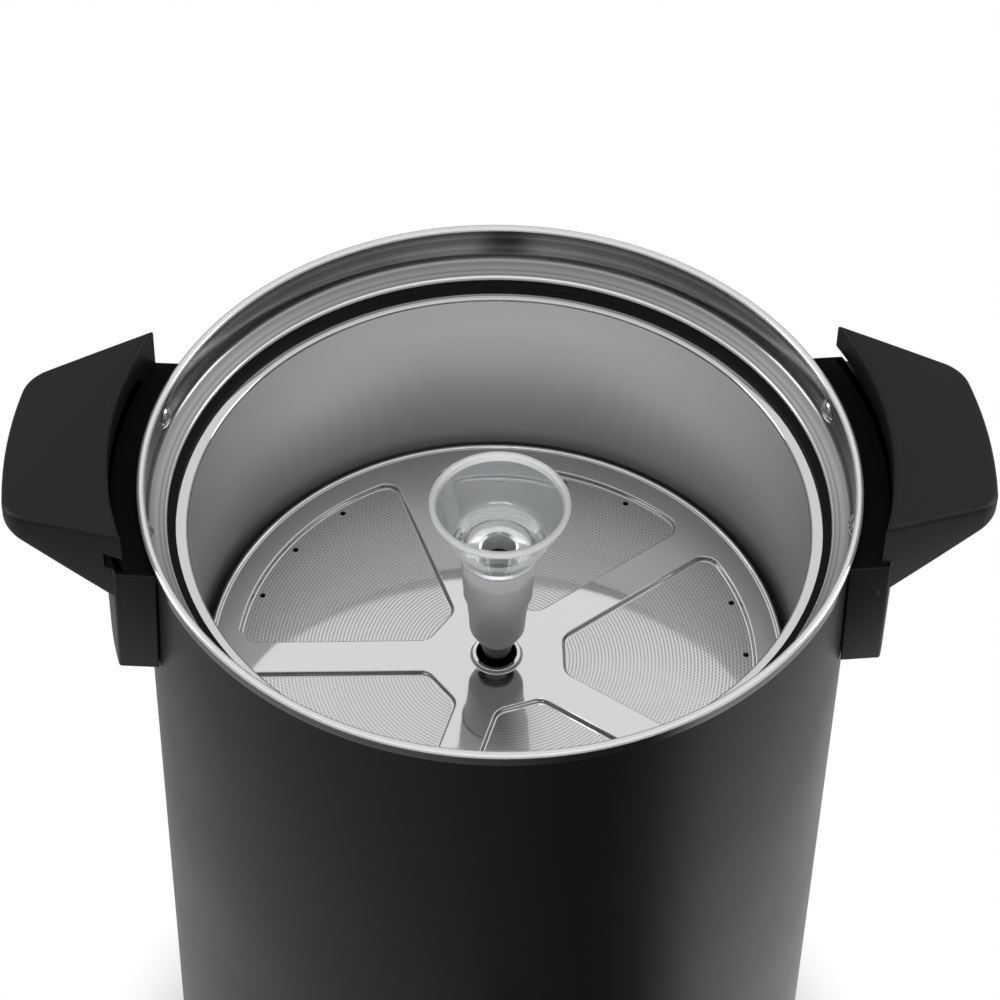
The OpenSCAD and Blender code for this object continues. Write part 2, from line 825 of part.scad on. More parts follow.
module switch_rocker() {
    body_h = switch_h - 2*bezel_w - 2*switch_wall;
    reach = (switch_w - 2*bezel_w)/2 - switch_wall - slip - fit;
    right_end = arc([0, 0], reach, -25, 28, 6);
    left_end = [for (i = [len(right_end) - 1:-1:0]) [-right_end[i].x, right_end[i].y]];
    color(RUBBER)
        translate([-control_x, -panel_y - pivot_v, panel_z])
            rotate([0, 0, -rocker_angle/2]) {
                translate([0, 0, slip - body_h/2]) linear_extrude(body_h - 2*slip)
                    mirror([0, 1]) polygon(concat(right_end, [[0, 3.1]], left_end));
                translate([0, 0, -body_h/2 - switch_wall/2]) cylinder(r = pivot_r, h = body_h + switch_wall);
            }
}

// A turned piece on the front panel at the ready light, with its profile as distance out and radius
module turned_light(points) {
    translate([control_x, -panel_y, panel_z]) rotate([90, 0, 0]) rotate_extrude() polygon(points);
}

module ready_lens() {
    r = lens_d/2;
    color(AMBER)
        turned_light(concat(
            [[r - 1.4, -6], [r, -6], [r, 0], [r + lens_flange, 0], [r + lens_flange, 0.8], [r, 1.2]],
            arc([0, 1.2 - r*0.6], r*1.166, 31, 90, 6),
            [[0, 1], [r - 1.4, 1]]
        ));
}

module ready_lamp() {
    color(CERAMIC)
        turned_light([
            [0, -lamp_l], [lens_d/2 - 1.6, -lamp_l], [lens_d/2 - 1.6, 0], [1.5, 0.8], [0, 0.8]
        ]);
}

module lead_live() {
    color("firebrick") wire(live_route, lead_r, lead_sides);
}

module lead_neutral() {
    color("royalblue") wire(neutral_route, lead_r, lead_sides);
}

module lead_element() {
    color("dimgray") wire(element_route, lead_r, lead_sides);
}

module tap_body() {
    color(BLACK_PLASTIC)
        difference() {
            union() {
                toward_front(saddle_r - 1, saddle_y, saddle_y + tap_flange_t, tap_z);
                toward_front(neck_r, saddle_y, tap_y, tap_z);
                toward_front(shank_r, shank_end, saddle_y + over, tap_z);
                translate([0, -tap_y, valve_seat_z - seat_t])
                    cylinder(r = chamber_r, h = chamber_top - valve_seat_z + seat_t);
                translate([0, -tap_y, nozzle_z])
                    cylinder(
                        r1 = nozzle_r, r2 = nozzle_r + nozzle_taper,
                        h = valve_seat_z - seat_t - nozzle_z + over);
            }
            toward_front(waterway_d/2, shank_end - over, tap_y, tap_z);
            translate([0, -tap_y, valve_seat_z])
                cylinder(r = valve_in, h = chamber_top - valve_seat_z + over);
            translate([0, -tap_y, nozzle_z - over])
                cylinder(r = outlet_r, h = valve_seat_z - nozzle_z + 2*over);
        }
}

module tap_saddle() {
    color(RUBBER)
        difference() {
            toward_front(saddle_r, shell_in - 2*over, saddle_y, tap_z);
            cylinder(r = shell_r + fit, h = urn_h, $fn = 180);
            toward_front(shank_r + fit, shell_in - 3*over, saddle_y + over, tap_z);
        }
}

module tap_spacer() {
    color(BLACK_PLASTIC)
        difference() {
            intersection() {
                toward_front(shank_r + 4, tank_r - over, shell_r, tap_z);
                cylinder(r = shell_in - fit, h = urn_h, $fn = 180);
            }
            cylinder(r = tank_r + tank_t + fit, h = urn_h, $fn = 180);
            toward_front(shank_r + slip, tank_r - 2*over, shell_r + over, tap_z);
        }
}

module tap_seal() {
    color(SILICONE)
        difference() {
            intersection() {
                toward_front(tap_seal_r, nut_y, tank_r + over, tap_z);
                cylinder(r = tank_r - fit, h = urn_h, $fn = 180);
            }
            toward_front(shank_r + fit, nut_y - over, tank_r + 2*over, tap_z);
        }
}

module tap_nut() {
    color(BLACK_PLASTIC)
        difference() {
            translate([0, -nut_y + nut_t, tap_z]) rotate([90, 0, 0])
                cylinder(r = tap_seal_r, h = nut_t, $fn = 6);
            toward_front(shank_r + fit, nut_y - nut_t - over, nut_y + over, tap_z);
        }
}

module tap_bonnet() {
    color(BLACK_PLASTIC)
        translate([0, -tap_y, 0])
            lathe([
                [chamber_r + fit, bonnet_top - bonnet_skirt], [bonnet_r, bonnet_top - bonnet_skirt],
                [bonnet_r, bonnet_top - 1], [bonnet_r - 1, bonnet_top], [rod_r + run_fit, bonnet_top],
                [rod_r + run_fit, chamber_top], [chamber_r + fit, chamber_top]
            ]);
}

module valve_rod() {
    flat_z = bonnet_top - valve_lift - slip;
    color(SATIN)
        translate([0, -tap_y, 0])
            difference() {
                union() {
                    translate([0, 0, rod_foot]) cylinder(r = rod_r, h = rod_top - rod_foot);
                    translate([0, 0, rod_flange_z]) cylinder(r = rod_flange_r, h = rod_flange_t);
                }
                for (side = [-1, 1])
                    translate([side*(rod_flat + rod_r) - rod_r, -2*rod_r, flat_z])
                        cube([2*rod_r, 4*rod_r, rod_top - flat_z + over]);
                translate([-2*rod_r, 0, pin_z]) rotate([0, 90, 0]) cylinder(r = pin_r + run_fit, h = 4*rod_r);
            }
}

module valve_seal() {
    color(SILICONE)
        translate([0, -tap_y, 0])
            lathe([
                [0, valve_seat_z], [valve_in - 2, valve_seat_z], [valve_in - 1, valve_seat_z + 1],
                [valve_in - 1.6, rod_flange_z], [rod_r + fit, rod_flange_z],
                [rod_r + fit, rod_foot - fit], [0, rod_foot - fit]
            ]);
}

module lever_pin() {
    color(POLISHED)
        translate([-lever_w/2 - 0.4, -tap_y, pin_z]) rotate([0, 90, 0])
            cylinder(r = pin_r, h = lever_w + 0.8);
}

module tap_spring() {
    steps = spring_turns*12;
    route = [
        for (i = [0:steps]) let (a = 360*spring_turns*i/steps)
            [spring_r*cos(a), spring_r*sin(a) - tap_y, spring_z0 + (spring_z1 - spring_z0)*i/steps]
    ];
    color(SATIN) wire(route, spring_wire, 6);
}

// Side outline of the lever, x towards the user and y up from the pin. The cam under the pin is the
// curve that a flat bonnet rolls on while the valve rises in step with the lever's turn.
module tap_lever() {
    rate = valve_lift/(lever_angle*PI/180);
    hub_r = cam_h - slip;
    cam = [
        for (i = [0:8]) let (a = lever_angle*i/8, h = hub_r + valve_lift*i/8)
            [rate*cos(a) + h*sin(a), rate*sin(a) - h*cos(a)]
    ];
    rise = 22;
    along = [cos(rise), sin(rise)];
    up = [-sin(rise), cos(rise)];
    tip_r = 2.6;
    tip = (lever_len - tip_r)*along;
    outline = concat(
        arc([0, 0], hub_r, 180, 270),
        cam,
        [16*along - 4.5*up],
        arc(tip, tip_r, rise - 90, rise + 90),
        [14*along + 5*up],
        arc([0, 0], hub_r, 80, 180)
    );
    color(BLACK_PLASTIC)
        translate([0, -tap_y, pin_z])
            difference() {
                translate([-lever_w/2, 0, 0]) rotate([90, 0, 90]) linear_extrude(lever_w)
                    mirror([1, 0]) polygon(outline);
                translate([-rod_flat - slip, -13, -2*cam_h])
                    cube([2*rod_flat + 2*slip, 13 + 2*cam_h, 4*cam_h]);
                translate([-lever_w, 0, 0]) rotate([0, 90, 0]) cylinder(r = pin_r + run_fit, h = 2*lever_w);
            }
}

module perc_stem() {
    seat_r = stem_seat_d/2;
    color(POLISHED)
        lathe([
            [stem_bore, stem_z], [stem_r, stem_z], [stem_r, basket_z - 5], [seat_r, basket_z - 1.5],
            [seat_r, basket_z], [stem_r, basket_z], [stem_r, funnel_z - 2.4], [stop_r, funnel_z - 1.4],
            [stop_r, funnel_z], [stem_r, funnel_z], [stem_r, stem_top], [stem_bore, stem_top]
        ]);
}

module pump_foot() {
    inner_r = foot_r - foot_bevel - skirt_t;
    top = foot_top - well_floor;
    tube_z = stem_z - well_floor;
    color(SATIN)
        difference() {
            translate([0, 0, well_floor])
                lathe([
                    [foot_r - foot_bevel, 0], [foot_r, foot_bevel], [foot_r, 1.5*foot_bevel],
                    [hub_r, cone_h], [hub_r, top], [stem_r + fit, top], [stem_r + fit, tube_z],
                    [stem_bore, tube_z], [stem_bore, tube_z - chamber_roof],
                    [pump_chamber_r, tube_z - chamber_roof], [pump_chamber_r, pump_plate],
                    [pump_inlet_r, pump_plate], [pump_inlet_r, pump_plate - skirt_t],
                    [inner_r, pump_plate - skirt_t], [inner_r, 0]
                ]);
            for (angle = [0:60:120])
                rotate([0, 0, angle]) translate([-well_r, -foot_slot_w/2, well_floor - over])
                    cube([2*well_r, foot_slot_w, foot_slot_h + over]);
        }
}

module pump_washer() {
    color(SATIN)
        translate([0, 0, well_floor + pump_plate]) cylinder(r = washer_r, h = washer_t);
}

module brew_basket() {
    floor_top = basket_z + brew_t;
    path = concat(
        [[basket_r + basket_rim_w, basket_rim_z]],
        arc([basket_r + basket_curl, basket_rim_z - basket_curl], basket_curl, 90, 180, 4),
        arc([basket_r - basket_corner, floor_top + basket_corner], basket_corner, 0, -90, 6),
        [[tube_in + brew_t, floor_top], [tube_in + brew_t, cover_z - tube_drop]]
    );
    row_gap = (basket_r - basket_corner - 1.5*drip_in)/drip_rows;
    color(SATIN)
        difference() {
            lathe(sheet(path, brew_t));
            for (row = [1:drip_rows], i = [0:6*row + 1])
                rotate([0, 0, 360*i/(6*row + 2)]) translate([drip_in + row*row_gap, 0, basket_z - over])
                    cylinder(d = drip_d, h = brew_t + 2*over, $fn = 24);
        }
}

// Outline of one pressed sector whose middle lies along +X, shrunk by an inset
function sector_half(inset) =
    let (
        rc = sector_corner - inset,
        r_out = cover_r - cover_band - inset,
        x_in = sector_in + inset,
        half_spoke = spoke_w/2 + inset,
        // The side runs along the spoke at 36 degrees, half a spoke away from its middle
        n = [sin(36), -cos(36)],
        // Corner centres stand rc inside the two lines that meet there
        c_in = let (x = x_in + rc) [x, (n.x*x - half_spoke - rc)/cos(36)],
        along = sqrt(pow(r_out - rc, 2) - pow(half_spoke + rc, 2)),
        c_out = along*[cos(36), sin(36)] + (half_spoke + rc)*n,
        out_angle = atan2(c_out.y, c_out.x)
    )
    concat(
        [[x_in, 0]],
        arc(c_in, rc, 180, 126, 4),
        arc(c_out, rc, 126, out_angle, 5),
        arc([0, 0], r_out, out_angle*0.75, 0, 3)
    );

module sector(inset, z0, h) {
    half = sector_half(inset);
    lower = [for (i = [len(half) - 2:-1:1]) [half[i].x, -half[i].y]];
    translate([0, 0, z0]) linear_extrude(h) polygon(concat(half, lower));
}

module basket_cover() {
    spokes = 5;
    collar_r = tube_in + collar_w;
    vent_r = cover_r - cover_band - vent_in;
    pan_z = cover_z - sector_depth - brew_t;
    color(POLISHED)
        difference() {
            union() {
                lathe([
                    [tube_in, cover_z - brew_t], [cover_r - brew_t, cover_z - brew_t],
                    [cover_r - brew_t, cover_z - cover_skirt], [cover_r, cover_z - cover_skirt],
                    [cover_r, cover_z - 0.6], [cover_r - 0.6, cover_z], [collar_r, cover_z],
                    [collar_r - collar_h/4, cover_z + collar_h], [tube_in, cover_z + collar_h]
                ]);
                for (i = [0:spokes - 1])
                    rotate([0, 0, 180 + 360*(i + 0.5)/spokes]) sector(0, pan_z, cover_z - pan_z - brew_t/2);
            }
            for (i = [0:spokes - 1])
                rotate([0, 0, 180 + 360*(i + 0.5)/spokes]) {
                    sector(brew_t, pan_z + brew_t, sector_depth + over);
                    for (k = [-1:1])
                        rotate([0, 0, k*vent_angle]) translate([vent_r, 0, pan_z - over])
                            cylinder(d = drip_d, h = brew_t + 2*over, $fn = 24);
                }
        }
}

module clear_funnel() {
    mouth_r = funnel_d/2;
    waist_z = funnel_top - 25.5;
    waist_r = stem_r + 8;
    ring_z = funnel_z + 23;
    neck_z = funnel_z + 12;
    floor_in = funnel_top - bowl_h;
    socket_top = funnel_z + 21;
    color(CLEAR)
        lathe(concat(
            [[stem_r + fit, funnel_z], [stem_r + 1.6, funnel_z]],
            arc([stem_r + 1, neck_z - 8], 3.6, -60, 0, 4),
            [[stem_r + 4.5, neck_z], [stem_r + 5.6, ring_z - 1]],
            [[stem_r + 6.4, ring_z - 1], [stem_r + 6.4, ring_z + 1]],
            [[stem_r + 7.4, waist_z - 5]],
            arc([waist_r + 6.8, waist_z + 3], 7.4, 205, 150, 4),
            [[mouth_r - 0.6, funnel_top - 2.6]],
            arc([mouth_r - 1.1, funnel_top - 1.1], 1.1, -10, 90, 4),
            [[mouth_r - 2.2, funnel_top], [mouth_r - 2.8, funnel_top - 2.4]],
            [[waist_r + 1.8, waist_z + 9], [waist_r - 2.4, floor_in + 1.2], [stem_r + 1.6, floor_in]],
            [[stem_r + 0.6, floor_in - 0.6], [stem_r + 0.6, floor_in - funnel_t]],
            [[waist_r - funnel_t, floor_in - funnel_t - 2], [stem_r + 7.4 - funnel_t, waist_z - 5]],
            [[stem_r + 5.2 - funnel_t, socket_top + 1], [stem_r + fit, socket_top]]
        ));
}

outer_shell();
rim_collar();
tank_gasket();
inner_tank();
handle_right();
handle_left();
handle_rivets();
handle_screws();
heat_well();
well_gasket();
well_nut();
perk_heater();
warm_heater();
thermostat();
thermal_cutout();
tank_posts();
base_ring();
base_plate();
base_screws();
feet();
power_inlet();
inlet_pins();
switch_housing();
switch_rocker();
ready_lens();
ready_lamp();
lead_live();
lead_neutral();
lead_element();
tap_body();
tap_saddle();
tap_spacer();
tap_seal();
tap_nut();
tap_bonnet();
valve_rod();
valve_seal();
lever_pin();
tap_spring();
tap_lever();
perc_stem();
pump_foot();
pump_washer();
brew_basket();
basket_cover();
clear_funnel();
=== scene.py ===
"""Looks of an open percolator urn: meshes, finishes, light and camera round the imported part."""

import logging
import math
from dataclasses import dataclass, field
from enum import Enum
from typing import Iterable, Optional, Sequence

import bmesh
import bpy
from mathutils import Matrix, Vector


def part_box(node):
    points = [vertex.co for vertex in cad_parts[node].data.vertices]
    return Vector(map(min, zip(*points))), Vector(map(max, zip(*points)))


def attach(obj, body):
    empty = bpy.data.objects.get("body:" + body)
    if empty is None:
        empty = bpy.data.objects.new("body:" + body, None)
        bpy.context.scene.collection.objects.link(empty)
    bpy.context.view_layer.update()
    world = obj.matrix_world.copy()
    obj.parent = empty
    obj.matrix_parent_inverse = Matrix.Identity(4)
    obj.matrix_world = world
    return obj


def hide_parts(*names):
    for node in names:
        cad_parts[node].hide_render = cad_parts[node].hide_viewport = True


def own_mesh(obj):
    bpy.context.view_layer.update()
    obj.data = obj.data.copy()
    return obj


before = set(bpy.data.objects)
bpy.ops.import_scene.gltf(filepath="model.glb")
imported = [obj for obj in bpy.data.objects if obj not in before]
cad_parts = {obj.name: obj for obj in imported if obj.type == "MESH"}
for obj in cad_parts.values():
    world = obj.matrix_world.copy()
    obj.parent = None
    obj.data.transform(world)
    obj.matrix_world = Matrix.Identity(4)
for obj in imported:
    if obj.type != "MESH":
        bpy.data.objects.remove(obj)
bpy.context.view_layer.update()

LOG = logging.getLogger("urn")
MM = 0.001
# Width of the smudges that wiping leaves
SMUDGE_MM = 45.45
# Length of a hooped mark, in widths
HOOP_LENGTH = 60
# The values between which most of a noise pattern lies
NOISE_LOW, NOISE_HIGH = 0.3, 0.7
WHITE = (1.0, 1.0, 1.0, 1.0)
# Inputs of a Map Range node that say from where to where it maps
RANGE = ("From Min", "From Max", "To Min", "To Max")

Point = tuple[float, float]
Corner = tuple[float, float, float]
Mesh = bmesh.types.BMesh
Vert = bmesh.types.BMVert
Edge = bmesh.types.BMEdge
Face = bmesh.types.BMFace
Tree = bpy.types.NodeTree
Socket = bpy.types.NodeSocket


# Finishes


def linear(code: str) -> tuple[float, float, float, float]:
    """Turns an sRGB hex colour into linear values.

    Args:
        code: Six hex digits, with or without a leading hash.

    Returns:
        Red, green, blue and alpha for a colour socket.
    """
    values = [int(code.lstrip("#")[i : i + 2], 16) / 255 for i in (0, 2, 4)]
    lin = [v / 12.92 if v <= 0.04045 else ((v + 0.055) / 1.055) ** 2.4 for v in values]
    return lin[0], lin[1], lin[2], 1.0


def add(tree: Tree, kind: str, sockets: Optional[dict] = None, **settings) -> bpy.types.Node:
    """Adds a node, sets its properties and fills or links its sockets.

    Args:
        tree: The node tree.
        kind: The node's type, without the ShaderNode prefix.
        sockets: Input name or index to a value, or to the socket or node that feeds it.
        **settings: Properties of the node.

    Returns:
        The new node.
    """
    node = tree.nodes.new("ShaderNode" + kind)
    for key, value in settings.items():
        setattr(node, key, value)
    for key, value in (sockets or {}).items():
        if isinstance(value, bpy.types.Node):
            value = value.outputs[0]
        if isinstance(value, Socket):
            tree.links.new(value, node.inputs[key])
        else:
            node.inputs[key].default_value = value
    return node


class Marks(Enum):
    """How the fine marks of a finish lie."""

    GRAIN = "without direction"
    HOOPS = "round the axis, changing with height"
    TURNED = "round the axis, changing with radius"


@dataclass(frozen=True)
class Finish:
    """A real material: colour, gloss and the fine marks that break it up.

    Attributes:
        name: The material's name.
        colour: sRGB hex colour.
        rough: Middle roughness.
        metal: Metallic weight.
        marks: How the fine marks lie.
        mark_mm: Size of the marks.
        depth_mm: Depth of the marks.
        tint: Share by which the marks change the colour.
        spread: How far the marks and smudges change the roughness.
        gloss: Strength of the surface reflection of what isn't metal.
    """

    name: str
    colour: str
    rough: float
    metal: float = 0.0
    marks: Marks = Marks.GRAIN
    mark_mm: float = 0.6
    depth_mm: float = 0.01
    tint: float = 0.08
    spread: float = 0.05
    gloss: float = 0.5

    def vector(self, tree: Tree) -> Socket:
        """Coordinates in which the marks are one unit across.

        Args:
            tree: The material's tree.

        Returns:
            A vector socket.
        """
        place = add(tree, "TexCoord").outputs["Object"]
        fine = 1 / (self.mark_mm * MM)
        if self.marks is Marks.TURNED:
            flat = add(tree, "VectorMath", {0: place, 1: (1.0, 1.0, 0.0)}, operation="MULTIPLY")
            radius = add(tree, "VectorMath", {0: flat}, operation="LENGTH").outputs["Value"]
            height = add(tree, "SeparateXYZ", {0: place}).outputs["Z"]
            pair = add(tree, "CombineXYZ", {"X": radius, "Y": height})
            return add(tree, "VectorMath", {0: pair, "Scale": fine}, operation="SCALE").outputs[0]
        along = fine / HOOP_LENGTH if self.marks is Marks.HOOPS else fine
        return add(tree, "Mapping", {"Vector": place, "Scale": (along, along, fine)}).outputs[0]

    def shade(self, tree: Tree, shader: bpy.types.Node) -> None:
        """Fills the shader's colour, roughness and bump from the marks and from wide smudges.

        Args:
            tree: The material's tree.
            shader: Its principled shader.
        """
        marks = add(tree, "TexNoise", {
            "Vector": self.vector(tree), "Scale": 1.0, "Detail": 2.0}).outputs["Fac"]
        place = add(tree, "TexCoord").outputs["Object"]
        smudge = add(tree, "TexNoise", {
            "Vector": place, "Scale": 1 / (SMUDGE_MM * MM), "Detail": 4.0}).outputs["Fac"]
        base = linear(self.colour)
        dark = tuple(c * (1 - self.tint) for c in base[:3]) + (1.0,)
        light = tuple(min(1.0, c * (1 + self.tint)) for c in base[:3]) + (1.0,)
        mix = add(tree, "Mix", {0: marks, 6: dark, 7: light}, data_type="RGBA")
        tree.links.new(mix.outputs[2], shader.inputs["Base Color"])
        both = add(tree, "Math", {0: marks, 1: smudge}, operation="ADD")
        rough = add(tree, "MapRange", {
            "Value": both, "From Min": 2 * NOISE_LOW, "From Max": 2 * NOISE_HIGH,
            "To Min": max(0.0, self.rough - self.spread), "To Max": self.rough + self.spread})
        tree.links.new(rough.outputs[0], shader.inputs["Roughness"])
        bump = add(tree, "Bump", {"Height": marks, "Strength": 1.0, "Distance": self.depth_mm * MM})
        tree.links.new(bump.outputs[0], shader.inputs["Normal"])
        shader.inputs["Metallic"].default_value = self.metal
        shader.inputs["Specular IOR Level"].default_value = self.gloss

    def material(self) -> bpy.types.Material:
        """The material of this finish, made on first use.

        Returns:
            The Blender material.
        """
        known = bpy.data.materials.get(self.name)
        if known:
            return known
        material = bpy.data.materials.new(self.name)
        material.use_nodes = True
        tree = material.node_tree
        self.shade(tree, tree.nodes["Principled BSDF"])
        material.diffuse_color = linear(self.colour)
        return material


@dataclass(frozen=True)
class ClearPlastic(Finish):
    """Clear moulded plastic that bends the light behind it.

    Attributes:
        index: Refractive index.
        clear: Share of the light that passes.
    """

    index: float = 1.49
    clear: float = 1.0

    def shade(self, tree: Tree, shader: bpy.types.Node) -> None:
        """Adds transmission to the common finish.

        Args:
            tree: The material's tree.
            shader: Its principled shader.
        """
        super().shade(tree, shader)
        shader.inputs["Transmission Weight"].default_value = self.clear
        shader.inputs["IOR"].default_value = self.index


@dataclass(frozen=True)
class PiercedSteel(Finish):
    """Polished steel with rings of small holes round the axis, drawn coarse enough to show.

    Attributes:
        pitch_mm: Distance between the rings.
        ring_mm: Radius at which the holes are one pitch apart along their ring.
        hole: Share of the pitch from a hole's middle to its edge.
        edge: Share of the pitch over which a hole's edge fades, to each side.
        along: Weight of the distance along the ring, less than one for holes longer than wide.
        hole_colour: sRGB hex colour in the holes.
        dent_mm: Depth of the holes.
        dent: Strength of their relief.
    """

    pitch_mm: float = 1.2
    ring_mm: float = 60.0
    hole: float = 0.24
    edge: float = 0.08
    along: float = 0.632456
    hole_colour: str = "#b9b9ba"
    dent_mm: float = 0.03
    dent: float = 0.5

    def shade(self, tree: Tree, shader: bpy.types.Node) -> None:
        """Darkens and dents the holes on top of the common finish.

        Args:
            tree: The material's tree.
            shader: Its principled shader.
        """
        super().shade(tree, shader)
        place = add(tree, "TexCoord").outputs["Object"]
        flat = add(tree, "VectorMath", {0: place, 1: (1.0, 1.0, 0.0)}, operation="MULTIPLY")
        radius = add(tree, "VectorMath", {0: flat}, operation="LENGTH").outputs["Value"]
        rings = add(tree, "Math", {0: radius, 1: self.pitch_mm * MM}, operation="DIVIDE")
        axes = add(tree, "SeparateXYZ", {0: place})
        angle = add(tree, "Math", {0: axes.outputs["Y"], 1: axes.outputs["X"]}, operation="ARCTAN2")
        turn = add(tree, "Math", {0: angle, 1: self.ring_mm / self.pitch_mm}, operation="MULTIPLY")
        # Every other ring is shifted by half a hole
        ring = add(tree, "Math", {0: rings}, operation="FLOOR")
        turn = add(tree, "Math", {0: ring, 1: 0.5, 2: turn}, operation="MULTIPLY_ADD")
        cell = add(tree, "VectorMath", {
            0: add(tree, "CombineXYZ", {"X": rings, "Y": turn})}, operation="FRACTION")
        off = add(tree, "VectorMath", {0: cell, 1: (0.5, 0.5, 0.0)}, operation="SUBTRACT")
        off = add(tree, "VectorMath", {0: off, 1: (1.0, self.along, 0.0)}, operation="MULTIPLY")
        reach = add(tree, "VectorMath", {0: off}, operation="LENGTH").outputs["Value"]
        solid = add(tree, "MapRange", {
            "Value": reach, "From Min": self.hole - self.edge, "From Max": self.hole + self.edge})
        old = shader.inputs["Base Color"].links[0].from_socket
        mix = add(tree, "Mix", {0: solid, 6: linear(self.hole_colour), 7: old}, data_type="RGBA")
        tree.links.new(mix.outputs[2], shader.inputs["Base Color"])
        normal = shader.inputs["Normal"].links[0].from_socket
        dent = add(tree, "Bump", {
            "Height": solid, "Distance": self.dent_mm * MM, "Strength": self.dent, "Normal": normal})
        tree.links.new(dent.outputs[0], shader.inputs["Normal"])


@dataclass(frozen=True)
class DepthShadedSteel(Finish):
    """Satin steel painted darker towards the bottom: painted shade that deepens down the tank.

    Attributes:
        shade_top_z: Height above which there is no painted shade, in millimetres.
        shade_full_z: Height below which the painted shade is full.
        dulled: Share of the colour that is left there.
    """

    shade_top_z: float = 312.0
    shade_full_z: float = 268.0
    dulled: float = 0.5

    def shade(self, tree: Tree, shader: bpy.types.Node) -> None:
        """Darkens the common finish with depth, as painted shade.

        Args:
            tree: The material's tree.
            shader: Its principled shader.
        """
        super().shade(tree, shader)
        place = add(tree, "SeparateXYZ", {0: add(tree, "TexCoord").outputs["Object"]})
        # Painted shade: the colour darkens towards black from shade_top_z down to shade_full_z
        share = add(tree, "MapRange", {
            "Value": place.outputs["Z"], "From Min": self.shade_full_z * MM, "From Max": self.shade_top_z * MM,
            "To Min": self.dulled, "To Max": 1.0}, interpolation_type="SMOOTHSTEP")
        old = shader.inputs["Base Color"].links[0].from_socket
        mix = add(tree, "Mix", {0: share, 6: linear("#000000"), 7: old}, data_type="RGBA")
        tree.links.new(mix.outputs[2], shader.inputs["Base Color"])


# Satin black coating baked on sheet steel: a dark body whose edges catch soft light
COAT = Finish("black baked coating", "#0a0a0b", rough=0.38, mark_mm=0.35, depth_mm=0.012, tint=0.15)
# Mirror-polished stainless steel: hard reflections with faint wiping smudges
POLISHED = Finish(
    "polished stainless steel", "#d9d9da", rough=0.05, metal=1.0, marks=Marks.TURNED,
    mark_mm=0.5, depth_mm=0.0004, tint=0.02, spread=0.02)
# Spun stainless steel inside the collar: blurred reflections, with darker and brighter rings painted into
# its colour as reflection streaks
SPUN_STREAKED = Finish(
    "spun stainless steel", "#98989a", rough=0.14, metal=1.0, marks=Marks.TURNED,
    mark_mm=1.7, depth_mm=0.006, tint=0.95, spread=0.04)
# The collar's rolled lip and hem: almost white, with a soft shine, a painted highlight along their rolled
# edges
LIP_HIGHLIGHT = Finish(
    "bright steel with painted highlight", "#eeeeef", rough=0.18, metal=0.6, marks=Marks.HOOPS,
    mark_mm=0.5, depth_mm=0.002, tint=0.03, spread=0.04)
# The cover's pressed steel: a bright mirror under a thin bloom of scale
PRESSED = Finish(
    "pressed stainless steel", "#e6e6e7", rough=0.05, metal=0.95, marks=Marks.TURNED,
    mark_mm=0.5, depth_mm=0.0004, tint=0.02, spread=0.02)
# The same steel where the cover is pierced: fine rings of holes break up the mirror
PIERCED = PiercedSteel(
    "pierced stainless steel", "#e4e4e5", rough=0.07, metal=0.88, marks=Marks.TURNED,
    mark_mm=0.5, depth_mm=0.0006, tint=0.02, spread=0.02)
# The stem's steel: a dark tube with a soft shine
STEM = Finish(
    "dulled stem steel", "#3e3e40", rough=0.25, metal=1.0, marks=Marks.HOOPS,
    mark_mm=0.5, depth_mm=0.003, tint=0.1, spread=0.06)
# Drawn stainless steel left satin: soft grey with hooped drawing marks
SATIN = Finish(
    "satin drawn steel", "#a9a9aa", rough=0.36, metal=1.0, marks=Marks.HOOPS,
    mark_mm=0.5, depth_mm=0.004, tint=0.05, spread=0.06)
# The tank's satin steel: half dull with scale, and painted darker towards the bottom as shade deep in the
# tank
TANK = DepthShadedSteel(
    "satin tank steel", "#bcbcbd", rough=0.45, metal=0.35, marks=Marks.HOOPS,
    mark_mm=0.5, depth_mm=0.004, tint=0.05, spread=0.06, gloss=0.1)
# Zinc-plated steel of small fittings: bright grey with a slightly uneven shine
PLATED = Finish("zinc-plated steel", "#b9bbbd", rough=0.3, metal=1.0, mark_mm=0.8, depth_mm=0.004)
# Charcoal phenolic moulding: nearly black, with a fine spark-eroded grain that softens its shine
PHENOLIC = Finish(
    "charcoal phenolic plastic", "#131314", rough=0.4, mark_mm=0.4, depth_mm=0.025, tint=0.12,
    spread=0.06, gloss=0.24)
# The same moulding left unpolished between rim and grip: almost no shine, and painted darker there as the
# shade deep in that pocket
MATT_SHADED = Finish(
    "matt phenolic plastic", "#0a0a0b", rough=0.75, mark_mm=0.4, depth_mm=0.03, tint=0.15, gloss=0.08)
# Black moulded polypropylene of tap, switch and inlet: a little glossier
PROPYLENE = Finish(
    "black polypropylene", "#1c1c1d", rough=0.34, mark_mm=0.7, depth_mm=0.015, tint=0.1)
# Moulded rubber of gasket, saddle and feet: matt black
RUBBER = Finish(
    "black rubber", "#070707", rough=0.75, mark_mm=0.5, depth_mm=0.03, tint=0.2, gloss=0.25)
# Moulded silicone seals: grey-white and soft-looking
SILICONE = Finish("silicone rubber", "#bdb6aa", rough=0.55, mark_mm=0.6, depth_mm=0.01)
# Die-cast aluminium of the heaters: dull grey with a sand-like skin
CAST = Finish(
    "cast aluminium", "#8d8a86", rough=0.5, metal=1.0, mark_mm=1.2, depth_mm=0.05, tint=0.15)
# Pressed and fired steatite of sensors and lamp: cream and chalky
CERAMIC = Finish("steatite ceramic", "#d9d2c2", rough=0.6, mark_mm=0.6, depth_mm=0.02)
# Clear moulded polycarbonate: near-colourless, with a trace of haze
CLEAR = ClearPlastic(
    "clear polycarbonate", "#f4f7f8", rough=0.03, mark_mm=4.0, depth_mm=0.002, tint=0.01,
    spread=0.02, clear=0.9)
# The same plastic at its thick edges, half white: a painted highlight where they gather light
EDGE_HIGHLIGHT = ClearPlastic(
    "clear polycarbonate edge", "#fbfcfc", rough=0.08, mark_mm=2.0, depth_mm=0.002, tint=0.01,
    spread=0.03, clear=0.4)
